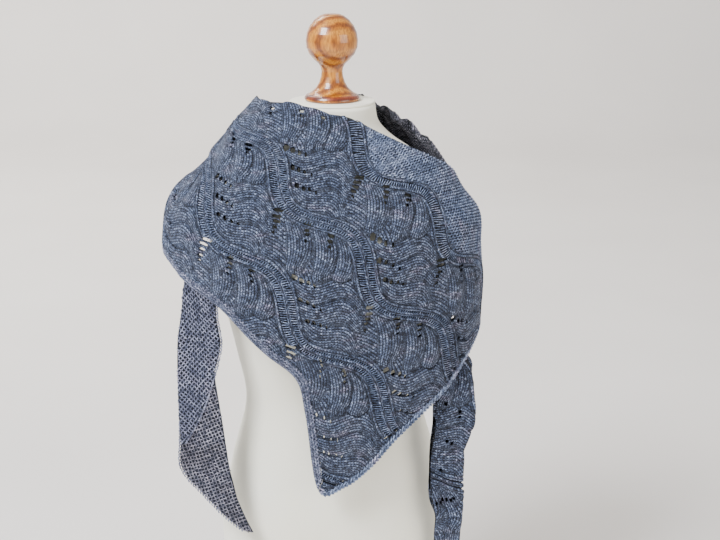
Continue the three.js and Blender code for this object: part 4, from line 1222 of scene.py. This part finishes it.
def ladder_places():
    """Rungs of the ladders between the ribs: place, way across, and length."""
    found = []
    for n in SPINES:
        along = np.arange(-520, 520, 1.0)
        left, right = rib_places(along, n)
        lanes = ((0 * left, 2 * (left - 1.6)),) if n == LAST_SPINE else (
            (-left / 2, left - 2.4), (right / 2, right - 2.4))
        for lane, width in lanes:
            slope = spine_slope(along, n)
            tilt = np.hypot(1, slope)
            u, v = stretched(*from_along_across(
                along - lane * slope / tilt, spine_middle(along, n) + lane / tilt))
            length = path_length(u, v)
            want = np.arange(0, length[-1], RUNG_PITCH)
            way = np.unwrap(np.arctan2(np.gradient(v), np.gradient(u)))
            wide = np.broadcast_to(width, along.shape)
            found.append(np.stack([np.interp(want, length, value) for value in (u, v, way, wide)]))
    return np.concatenate(found, axis=1)


def on_cape(u, v, angle, inside, out):
    """Points on the draped surface with the ways of their strands, where inside allows."""
    theta, z, miss = body_place(u, v)
    keep = (miss < 1) & inside(theta, z)
    theta, z, angle = theta[keep], z[keep], angle[keep]
    at, around, up, normal = cape_axes(theta, z)
    run = around * np.cos(angle)[:, None] + up * np.sin(angle)[:, None]
    lift = out(theta, z) + fold_height(u[keep], v[keep])
    return at + normal * lift[:, None], run, normal, keep


def ladders(name, inside, out):
    u, v, way, wide = ladder_places()
    random = np.random.default_rng(7)
    angle = way + math.pi / 2 + random.normal(0, 0.10, len(u)) - 0.25
    points, run, normal, keep = on_cape(u, v, angle, inside, lambda t, z: out(t, z) - 0.1)
    size = np.ones((len(points), 3))
    size[:, 0] = wide[keep] / STRAND_KINDS["rung"][0]
    return lay_strands(name, "rung", points, run, normal, size, YARN_STRAND, "lace_knit")


LEVEL_RISE = 0.15  # how steeply the collar's nearly level ridges climb


def level_ridge(u):
    return LEVEL_RISE * u


def purl_lattice(u_range, v_range, ridge):
    """Strands that zigzag along garter ridges, each ridge half a stitch on from the last."""
    random = np.random.default_rng(11)
    stops = np.arange(u_range[0], u_range[1], PURL / 2)
    first, last = (int(v / RIDGE) for v in (v_range[0] - 100, v_range[1] + 100))
    numbers = np.arange(first, last)
    u, row = np.meshgrid(stops, numbers * RIDGE)
    way = 1 - 2 * ((np.arange(len(stops))[None, :] + numbers[:, None]) % 2)
    slope = (ridge(u + 1) - ridge(u - 1)) / 2
    angle = np.arctan(slope) + way * random.normal(0.6, 0.12, u.shape)
    v = row + ridge(u) + random.normal(0, 0.2, u.shape)
    u = u + random.normal(0, 0.2, u.shape)
    keep = (v > v_range[0]) & (v < v_range[1])
    return u[keep], v[keep], angle[keep]


def garter_bumps(name, u_range, v_range, inside, out, yarn, slot, everywhere=True,
                 ridge=along_ridge):
    """Purl bumps over garter cloth: everywhere, or only past the lace's last spine."""
    u, v, angle = purl_lattice(u_range, v_range, ridge)
    if not everywhere:
        keep = garter_only(u, v)
        u, v, angle = u[keep], v[keep], angle[keep]
    points, run, normal, keep = on_cape(u, v, angle, inside, out)
    size = varied(len(points), np.random.default_rng(3), 0.9, 1.1)
    return lay_strands(name, "purl", points, run, normal, size, yarn, slot)


# The pieces of the shawl

HOLES = lace_holes()


def front():
    columns, rows = 480, 300
    theta, z = front_grid(columns, rows)
    outer, inner, kept, layers, flat = knit_over(theta, z, np.zeros_like(theta), HOLES)
    names = ("front_left_lace", "front_middle_lace", "front_right_lace")
    spans = ((0, 80), (80, 160), (160, 240))
    flush = lambda t, h: 0.0 * t
    rungs = ladders("front_ladder_rungs", inside_front, flush)
    bumps = garter_bumps("front_garter_bumps", (-60, 340), (-130, 260), inside_front,
                         lambda t, h: flush(t, h) + 0.1, YARN_STRAND, "garter_knit", False)
    for name, (first, last) in zip(names, spans):
        piece = cloth_piece(name, outer, inner, kept, layers, (first, last))
        finish_piece(piece, LACE_KNIT, "lace_knit", "shawl_front")


RUFFLE_TURN = 15  # degrees from one upright fold behind the neck to the next
RUFFLE_FADE = 0.85  # how much of a fold is gone at the hem
RUFFLE_DRIFT = (0.25, 3.1)  # how far the folds stray from even spacing, and how often


def wing_out(theta, down):
    """Distance of the lace wing from the body, with soft upright folds behind the neck."""
    at = np.degrees(theta)
    depth = LACE_WING.read("ruffle", at) * (1 - RUFFLE_FADE * down)
    turns = at / RUFFLE_TURN + RUFFLE_DRIFT[0] * np.sin(theta * RUFFLE_DRIFT[1])
    return LACE_WING.read("out", at) + depth * (np.sin(2 * math.pi * turns) - 1)


def wing_down(theta, z):
    """How far down the lace wing a place lies, from nought to one."""
    at = np.degrees(theta)
    top, hem = LACE_WING.read("top", at), LACE_WING.read("hem", at)
    return np.clip((top - z) / (top - hem), 0, 1)


def wing_grid(edges, first, last, seam, columns, rows):
    share, down = np.meshgrid(np.linspace(0, 1, columns + 1), np.linspace(0, 1, rows + 1))
    theta = np.radians(first + (last - first) * share)
    at = np.degrees(theta)
    top, hem = edges.read("top", at), edges.read("hem", at)
    z = top + (hem - top) * down
    shift = math.copysign(seam, last - first) / cape_radius(theta, z) * (share == 0)
    return theta + shift, z, down


def lace_wing():
    theta, z, down = wing_grid(LACE_WING, -SIDE, COLLAR_START, SEAM, 252, 126)
    outer, inner, kept, layers, flat = knit_over(theta, z, wing_out(theta, down), HOLES)
    piece = cloth_piece("back_lace_wing", outer, inner, kept, layers, flip=True)
    finish_piece(piece, LACE_KNIT, "lace_knit", "shawl_lace_wing")
    lift = lambda t, h: wing_out(t, wing_down(t, h))
    rungs = ladders("back_ladder_rungs", inside_wing, lift)


def plain_layers(u, v, dark):
    """Layers of plain garter cloth with level ridges, and painted shade between them."""
    return {
        "stitch": np.stack([v / RIDGE, u / PURL], -1),
        "cloth": np.stack([u, v], -1) * MM,
        "dark": dark - (1 - dark) * ridge_wave(v),
        "knit": np.full_like(u, GARTER_RELIEF),
    }


def garter_wall(theta, z, out):
    """Outer and inner points of plain garter cloth on the draped surface."""
    u, v = cloth_place(theta, z)
    ridges = GARTER_RISE * (ridge_wave(v) - 1)
    at, _, _, normal = cape_axes(theta, z)
    outer = at + normal * (out + ridges)[..., None]
    inner = (at + normal * (out - WALL)[..., None])[::2, ::2]
    kept = np.ones((inner.shape[0] - 1, inner.shape[1] - 1), bool)
    # 0.68 sets the painted shade between the garter ridges of the collar and the right wing
    return outer, inner, kept, plain_layers(u, v, 0.68), at + normal * out[..., None]


def collar():
    theta, z, down = wing_grid(LACE_WING, COLLAR_START, COLLAR_END, 2 * SEAM, 150, 56)
    outer, inner, kept, layers, flat = garter_wall(theta, z, wing_out(theta, down))
    piece = cloth_piece("ruffled_collar", outer, inner, kept, layers, flip=True)
    # the collar's cloth, and its bumps below, take the darker, browner copy of the wool: painted
    # shade
    finish_piece(piece, SHADE_KNIT, "lace_knit", "shawl_collar")
    lift = lambda t, h: wing_out(t, wing_down(t, h)) - 0.2
    inner_lift = lambda t, h: wing_out(t, wing_down(t, h)) - WALL + 0.2
    bumps = [
        garter_bumps(name, (-760, -380), (60, 330), in_collar, out, SHADE_STRAND, "lace_knit",
                     ridge=level_ridge)
        for name, out in (("collar_garter_bumps", lift), ("collar_inner_bumps", inner_lift))
    ]


def garter_wing():
    theta, z, _ = wing_grid(GARTER_WING, SIDE, GARTER_END, SEAM, 120, 110)
    lift = lambda t, h: GARTER_WING.read("out", np.degrees(t)) + 0 * h
    outer, inner, kept, layers, flat = garter_wall(theta, z, lift(theta, z))
    piece = cloth_piece("right_garter_wing", outer, inner, kept, layers)
    finish_piece(piece, LACE_KNIT, "garter_knit", "shawl_garter_wing")
    bumps = garter_bumps("wing_garter_bumps", (240, 560), (-140, 200), in_garter_wing,
                         lambda t, h: lift(t, h) - 0.2, YARN_STRAND, "garter_knit")


# The left tail

TAIL_TOP = 588  # height of its upper end, under the front
TAIL_DROP = 90  # below its upper end it hangs free after this length
TAIL_TUCK = 1.4  # space between the tail and the front over it
TAIL_PLANE = {"x": -205, "y": -86, "slope": -0.28}
TAIL_FOLD = {"deep": 3, "wide": 9, "fade": 420}


def tail_depth(x, z):
    """The y of the left tail: close under the front at its top, then hanging straight."""
    hung = smooth((TAIL_TOP - z) / TAIL_DROP)
    fade = hung * (1 - smooth((TAIL_TOP - z) / TAIL_FOLD["fade"]))
    fold = TAIL_FOLD["deep"] * fade * np.sin((x - TAIL_PLANE["x"]) / TAIL_FOLD["wide"])
    hanging = TAIL_PLANE["y"] + TAIL_PLANE["slope"] * (x - TAIL_PLANE["x"])
    under = hanging
    for _ in range(24):
        radius = cape_radius(np.arctan2(x, -under), z) - WALL - TAIL_TUCK
        under = (under - np.sqrt(np.maximum(1, radius * radius - x * x))) / 2
    return under * (1 - hung) + hanging * hung + fold


def tail_normal(x, z):
    slope_x = (tail_depth(x + 1, z) - tail_depth(x - 1, z)) / 2
    slope_z = (tail_depth(x, z + 1) - tail_depth(x, z - 1)) / 2
    return unit(np.stack([slope_x, -np.ones_like(x), slope_z], -1))


NET_MIDDLE = (-160, 400)  # where the net's lattice is centred, as x and z


def net_lattice(lean):
    """Strands along the sides of staggered open diamonds, as stretched garter shows."""
    random = np.random.default_rng(11)
    rows = np.arange(-240, 240, NET_HIGH / 2)
    stops = np.arange(-130, 130, NET_WIDE)
    x, y = np.meshgrid(stops, rows)
    x = x + (np.arange(len(rows))[:, None] % 2) * NET_WIDE / 2
    tilt = math.atan2(NET_HIGH, NET_WIDE)
    sides = [
        (x + way * NET_WIDE / 4, y + NET_HIGH / 4, np.full(x.shape, way * tilt)) for way in (1, -1)
    ]
    x, y, angle = (np.concatenate([side[k].ravel() for side in sides]) for k in range(3))
    u = NET_MIDDLE[0] + x * math.cos(lean) - y * math.sin(lean)
    v = NET_MIDDLE[1] + x * math.sin(lean) + y * math.cos(lean)
    drift_u, drift_v = 1.3 * np.sin(v / 24), 1.6 * np.sin(u / 13 + v / 55)
    u = u + drift_u + random.normal(0, 0.25, len(u))
    v = v + drift_v + random.normal(0, 0.25, len(v))
    return u, v, angle + lean + random.normal(0, 0.1, len(u))


def tail_net(name, rows, back, lean, yarn, holds=None):
    """The yarn of a layer of the left tail, crossing between its open diamonds."""
    u, v, angle = net_lattice(lean)
    keep = (v < rows.key[-1] - 1) & (v > rows.key[0] + 1)
    keep &= (u > rows.read("left", v) + 1) & (u < rows.read("right", v) - 1)
    if holds is not None:
        keep &= holds(u, v)
    u, v, angle = u[keep], v[keep], angle[keep]
    y = tail_depth(u, v)
    normal = tail_normal(u, v)
    way = np.stack([np.cos(angle), 0 * angle, np.sin(angle)], -1)
    run = laid_flat(way, normal)
    points = np.stack([u, y + back, v], -1) + normal * 0.1
    size = varied(len(points), np.random.default_rng(4), 0.94, 1.06)
    return lay_strands(name, "net", points, run, normal, size, yarn, "garter_knit")


def edge_loops(name, rows, side, back, pitch, out):
    """Picot loops along one free edge of a layer of the left tail."""
    z = np.arange(rows.key[0] + 1, rows.key[-1] - 1, 1.0)
    x = rows.read(side, z)
    length = path_length(x, z)
    want = np.arange(pitch / 2, length[-1], pitch)
    x, z = np.interp(want, length, x), np.interp(want, length, z)
    normal = tail_normal(x, z)
    points = np.stack([x + out, tail_depth(x, z) + back + 0.6, z], -1)
    way = unit(np.stack([0.35 + 0 * x, 0 * x, 1 + 0 * x], -1))
    run = laid_flat(way, normal)
    face = np.cross(run, normal) * (1 if side == "right" else -1)
    size = varied(len(points), np.random.default_rng(5), 0.85, 1.15)
    return lay_strands(name, "picot", points, run, face, size, EDGE_STRAND, "garter_knit")


def tail_layer(name, node, rows, back, columns, steps):
    share, down = np.meshgrid(np.linspace(0, 1, columns + 1), np.linspace(0, 1, steps + 1))
    z = rows.key[-1] + (rows.key[0] - rows.key[-1]) * down
    left, right = rows.read("left", z), rows.read("right", z)
    x = left + (right - left) * share
    at = np.stack([x, tail_depth(x, z) + back, z], -1)
    normal = tail_normal(x, z)
    ridges = GARTER_RISE * (ridge_wave(z) - 1)
    outer = at + normal * ridges[..., None]
    inner = (at + np.array([0, WALL, 0]))[::2, ::2]
    kept = np.ones((inner.shape[0] - 1, inner.shape[1] - 1), bool)
    # 0.9 makes these sheets nearly the colour of the painted shade, so the openings of the net over
    # them read dark
    piece = cloth_piece(name, outer, inner, kept, plain_layers(x, z, 0.9))
    finish_piece(piece, LACE_KNIT, "garter_knit", node)


def left_tail():
    back = WALL + 0.7
    strands = [
        tail_net("tail_flap_net", TAIL_FLAP, 0, 0.1, EDGE_STRAND),
        edge_loops("tail_flap_picots", TAIL_FLAP, "right", 0, 4.4, 0.4),
    ]
    tail_layer("left_tail_outer", "left_tail_flap", TAIL_FLAP, 0, 40, 160)
    free = lambda u, v: (v < TAIL_FLAP.key[0]) | (u > TAIL_FLAP.read("right", v) - 4)
    strands = [
        # the under layer's net takes the darker, browner copy of the yarn: painted shade
        tail_net("tail_under_net", TAIL_UNDER, back, -0.4, SHADE_STRAND, free),
        edge_loops("tail_under_picots", TAIL_UNDER, "left", back, 4.4, -0.4),
    ]
    tail_layer("left_tail_inner", "left_tail_under", TAIL_UNDER, back, 44, 230)


# The right tail

TAIL_LAYERS = 3
TAIL_TURN = 3.2  # half the space from one layer to the next
TAIL_BULGE = 1.8  # how far the cloth bulges where it turns back
TAIL_LUMPS = ((2.2, 1 / 13, 2.2), (1.6, 1 / 31, 4))  # size, and waves down and across


# Holes of the right tail, along its folded section and its height, with their half sizes
TAIL_HOLES = np.array([
    (12, -12, 2.2, 3.0), (30, -26, 2.2, 3.4), (30, -34, 1.8, 2.4), (22, 24, 2.4, 3.2),
    *[(6 + 5.6 * k, -160 + 1.5 * k, 1.7, 3.2) for k in range(6)],
    (18, -70, 2.0, 2.6), (27, -74, 1.8, 2.4), (14, -112, 2.2, 2.6), (24, -236, 2.0, 2.4),
])


def crumpled_path():
    """Stops of the right tail's section: right along one layer, back left along the next."""
    run, path = 5, []
    for layer in range(TAIL_LAYERS):
        way = 1 if layer % 2 == 0 else -1
        path += [(way * (2 * k / (run - 1) - 1), 2 * layer * TAIL_TURN, 0) for k in range(run)]
        if layer + 1 < TAIL_LAYERS:
            path.append((way, (2 * layer + 1) * TAIL_TURN, way * TAIL_BULGE))
    return numbered(("across", "back", "bulge"), path)


def crumpled_stop(path, share, z):
    at = share * path.key[-1]
    across, back, bulge = (path.read(name, at) for name in ("across", "back", "bulge"))
    turn = np.radians(RIGHT_TAIL.read("turn", z))
    side = across * RIGHT_TAIL.read("half", z) + bulge
    lump = sum(size * np.sin(z * high + across * wide) for size, high, wide in TAIL_LUMPS)
    depth = back + lump
    return np.stack([
        RIGHT_TAIL.read("x", z) + side * np.cos(turn) - depth * np.sin(turn),
        RIGHT_TAIL.read("y", z) + side * np.sin(turn) + depth * np.cos(turn),
        z + 0 * side,
    ], -1)


def right_tail():
    path = crumpled_path()
    columns, steps = 100, 216
    share, down = np.meshgrid(np.linspace(0, 1, columns + 1), np.linspace(0, 1, steps + 1))
    top, tip = RIGHT_TAIL.key[-1], RIGHT_TAIL.key[0]
    z = top + (tip - top) * down
    at = crumpled_stop(path, share, z)
    ahead = crumpled_stop(path, np.minimum(share + 0.012, 1), z)
    behind = crumpled_stop(path, np.maximum(share - 0.012, 0), z)
    along = unit(ahead - behind)
    normal = unit(np.stack([along[..., 1], -along[..., 0], 0 * share], -1))
    steps_across = np.linalg.norm(np.diff(at, axis=1), axis=-1)
    u = np.pad(np.cumsum(steps_across, axis=1), ((0, 0), (1, 0)))
    v = z - 420
    move_u, move_v, kept, rim = open_holes(TAIL_HOLES, u, v)
    field = knit_field(u - 120, v - 40)
    height = 0.75 * (field["height"] - fold_height(u - 120, v - 40)) + 0.4 * rim
    moved = at + along * move_u[..., None] + np.array([0, 0, 1.0]) * move_v[..., None]
    outer = moved + normal * (WALL / 2 + np.minimum(height, 1.6))[..., None]
    inner = (moved - normal * WALL / 2)[::2, ::2]
    # the painted shade is lessened on the raised rims round the holes
    field["dark"] = np.clip(field["dark"] * (1 - 0.7 * rim), 0, 1)
    piece = cloth_piece("right_tail_lace", outer, inner, kept, knit_layers(field, u, v))
    finish_piece(piece, LACE_KNIT, "lace_knit", "shawl_right_tail")


# The edgings

def hem_band(name, node, first, last, rise, material):
    """A band along the hem of the front, with the rounded section of its solid."""
    section = Table(("k", "down", "out"), [
        (0, 0, -WALL), (1, 0, 0.2), (2, 0.35, rise - 0.6), (3, 0.8, rise - 0.6), (4, 1, -0.4),
        (5, 0.7, -WALL - 0.2), (6, 0, -WALL),
    ])
    around, columns = 12, 6 * (last - first)
    share = np.linspace(first + BAND_GAP, last - BAND_GAP, columns + 1) / FRONT_COLUMNS
    k = np.linspace(0, 6, around + 1)[:-1]
    share, k = np.meshgrid(share, k, indexing="ij")
    line = front_line(share)
    down = np.clip(np.interp(k, section.key, section.columns["down"]), 0, 1)
    out = np.interp(k, section.key, section.columns["out"])
    theta, z = front_place(line, 1 - hem_share(line, edge_width(share) * (1 - down)))
    points = cape_point(theta, z, out)
    index = numbered_grid(points)
    quads, _ = tube_quads(index)
    caps = [(0, q + 1, q) for q in range(1, around - 1)]
    far = index[-1, 0]
    caps += [(far, far + q, far + q + 1) for q in range(1, around - 1)]
    u, v = cloth_place(theta.ravel(), z.ravel())
    # dark 0.6 gives the bands painted shade under the strands laid over them
    layers = {
        "stitch": np.stack([u / WALE, v / COURSE], -1), "cloth": np.stack([u, v], -1) * MM,
        "dark": np.full_like(u, 0.6), "knit": np.full_like(u, 0.5),
    }
    piece = make_object(name, points.reshape(-1, 3), quads, caps, layers=layers)
    finish_piece(piece, material, "edging_knit", node)


def band_places(first, last, pitch, down_share):
    """Evenly spaced places along an edging, with the ways along and across it."""
    share = np.linspace(first + 0.15, last - 0.15, 60 * (last - first)) / FRONT_COLUMNS
    line = front_line(share)
    theta, z = front_place(line, 1 - hem_share(line, edge_width(share) * (1 - down_share)))
    points = cape_point(theta, z)
    length = path_length(*points.T)
    want = np.arange(pitch / 2, length[-1], pitch)
    theta, z = np.interp(want, length, theta), np.interp(want, length, z)
    at, _, _, normal = cape_axes(theta, z)
    along = laid_flat(unit(np.gradient(at, axis=0)), normal)
    return at, along, np.cross(normal, along), normal


def turned_about(along, across, angle):
    angle = np.asarray(angle)[..., None]
    return along * np.cos(angle) + across * np.sin(angle)


def edgings():
    """The two bands, three ridges of bumps on the left one and a two-strand braid on the right."""
    hem_band("left_garter_edging", "front_left_edging", 0, POINT_COLUMN, 1.6, LACE_KNIT)
    hem_band("right_braid_cord", "front_right_edging", POINT_COLUMN, FRONT_COLUMNS, 2.2, LACE_KNIT)
    random = np.random.default_rng(2)
    for row, share in enumerate((0.18, 0.5, 0.82)):
        at, along, across, normal = band_places(0, POINT_COLUMN, PURL / 2, share)
        way = 1 - 2 * ((np.arange(len(at)) + row) % 2)
        run = turned_about(along, across, way * random.normal(0.75, 0.16, len(at)))
        size = varied(len(at), random, 0.85, 1.15)
        lay_strands(f"edging_ridge_{row + 1}", "ridge", at + normal * (0.5 - 0.35 * row), run,
                    normal, size, EDGE_STRAND, "edging_knit")
    for row, (share, lean) in enumerate(((0.3, 0.5), (0.78, -0.5))):
        at, along, across, normal = band_places(POINT_COLUMN, FRONT_COLUMNS, PURL, share)
        run = turned_about(along, across, lean + random.normal(0, 0.05, len(at)))
        lay_strands(f"braid_chain_{row + 1}", "chain", at + normal * (1.2 - 0.5 * row), run,
                    normal, np.ones((len(at), 3)), YARN_STRAND, "edging_knit")


# The dress form

def ring_mesh(name, rings, around):
    """A closed solid from rings of points, with a flat fan at each end."""
    points = rings.reshape(-1, 3)
    index = numbered_grid(rings)
    quads, ahead = tube_quads(index)
    ends = np.stack([rings[0].mean(axis=0), rings[-1].mean(axis=0)])
    low, high = len(points), len(points) + 1
    fans = [np.stack([np.full(around, low), ahead[0], index[0]], -1),
            np.stack([np.full(around, high), index[-1], ahead[-1]], -1)]
    return make_object(name, np.concatenate([points, ends]), quads, np.concatenate(fans))


def torso():
    around = 120
    z = np.linspace(TORSO.key[0], TORSO.key[-1], 150)[:, None]
    theta = np.linspace(0, 2 * math.pi, around, endpoint=False)[None, :]
    side = TORSO.read("side", z)
    radius = section_radius(theta, side, side, TORSO.read("front", z), TORSO.read("back", z))
    piece = ring_mesh("jersey_torso", polar(radius, theta, z + 0 * theta), around)
    return finish_piece(piece, JERSEY, "jersey", "torso")


def turned(name, node, outline, corner, material, slot, around=96):
    """A turned solid from its outline of radius and height, with its narrow ends closed."""
    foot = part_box(node)[0][2] / MM
    outline = [(max(r, 0.4), z) for r, z in rounded(outline, corner)]
    theta = np.linspace(0, 2 * math.pi, around, endpoint=False)[None, :]
    radius, z = (np.array(column)[:, None] for column in zip(*outline))
    piece = ring_mesh(name, polar(radius, theta, z + foot + 0 * theta), around)
    return finish_piece(piece, material, slot, node)


def rounded(outline, corner):
    """An outline with each inner corner cut back, as a turner eases an edge."""
    points = [np.array(p, float) for p in outline]
    eased = [points[0]]
    for before, at, after in zip(points, points[1:], points[2:]):
        lead, trail = before - at, after - at
        cut = min(corner, np.linalg.norm(lead) / 2.2, np.linalg.norm(trail) / 2.2)
        first = at + lead / np.linalg.norm(lead) * cut
        last = at + trail / np.linalg.norm(trail) * cut
        eased += [first, (first + 2 * at + last) / 4, last]
    return [tuple(p) for p in [*eased, points[-1]]]


def dress_form():
    torso()
    turned("neck_cap_disc", "neck_cap", [(0, 0), (57, 0), (57, 2), (56, 3), (0, 3)], 0.8,
           JERSEY, "jersey")
    finial = turned("turned_finial", "finial", FINIAL, 0.6, AMBER_BEECH, "turned_wood")
    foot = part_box("finial")[0][2]
    stain_foot(finial, foot + 3.2 * MM, foot + 8.5 * MM)
    low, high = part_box("stand_pole")
    tall = (high[2] - low[2]) / MM
    turned("turned_pole", "stand_pole", [(0, 0), (19, 0), (19, tall), (0, tall)], 0.8,
           RED_BEECH, "turned_wood")
    base = [(0, 0), (140, 0), (140, 14), (137, 19), (131, 22), (40, 22), (0, 22)]
    turned("round_base", "stand_base", base, 1.2, RED_BEECH, "turned_wood", 128)


def stain_foot(piece, low, high):
    """The finial's foot has a darker stain than its ball and its lowest rim."""
    piece.data.materials.append(RED_BEECH)
    for face in piece.data.polygons:
        if low < face.center.z < high:
            face.material_index = 1


# The studio

def studio():
    """A pale floor that curves up into a wall, out of the part's way."""
    bend, wall, side, tall, steps = 900, 4800, 5200, 3800, 12
    y = [-side, 0, wall - bend]
    z = [0.0, 0.0, 0.0]
    for k in range(1, steps + 1):
        turn = math.pi / 2 * k / steps
        y.append(wall - bend + bend * math.sin(turn))
        z.append(bend - bend * math.cos(turn))
    y.append(wall)
    z.append(tall)
    x = np.linspace(-side, side, 5)
    rows = np.array([[(a, b, c) for a in x] for b, c in zip(y, z)])
    index = numbered_grid(rows)
    quads = np.stack([index[:-1, :-1], index[:-1, 1:], index[1:, 1:], index[1:, :-1]], -1)
    cove = make_object("studio_cove", rows.reshape(-1, 3), quads)
    cove.data.materials.append(studio_paper())


def area_light(name, place, aim, size, power, tint):
    light = bpy.data.lights.new(name, "AREA")
    light.shape = "RECTANGLE"
    light.size, light.size_y = size
    light.energy = power
    light.color = linear(tint)[:3]
    lamp = bpy.data.objects.new(name, light)
    lamp.location = place
    lamp.rotation_euler = (Vector(aim) - Vector(place)).to_track_quat("-Z", "Y").to_euler()
    bpy.context.scene.collection.objects.link(lamp)


def light_room():
    area_light("window_light", (-1.7, -1.7, 2.9), (0, 0, 0.6), (1.3, 1.3), 225, "#F8FAFF")
    area_light("right_fill", (2.4, -1.6, 1.3), (0, 0, 0.6), (1.8, 1.8), 48, "#FFF8F0")
    area_light("wall_wash", (-1.6, 2.2, 3.0), (-0.6, 4.0, 0.2), (2.4, 1.4), 150, "#FFFBF4")
    world = bpy.data.worlds.new("room")
    world.use_nodes = True
    world.node_tree.nodes["Background"].inputs["Color"].default_value = linear("#F1F2F5")
    world.node_tree.nodes["Background"].inputs["Strength"].default_value = 0.65
    bpy.context.scene.world = world


def photo_camera():
    camera = bpy.data.cameras.new("photo_view")
    camera.sensor_width = 36
    camera.lens = 75
    view = bpy.data.objects.new("photo_view", camera)
    view.location = (0.037, -1.9831, 1.1047)
    view.rotation_euler = (math.radians(90 - 15.2), 0, 0)
    bpy.context.scene.collection.objects.link(view)
    bpy.context.scene.camera = view


photo_camera()
studio()
light_room()
dress_form()
front()
edgings()
lace_wing()
collar()
garter_wing()
left_tail()
right_tail()
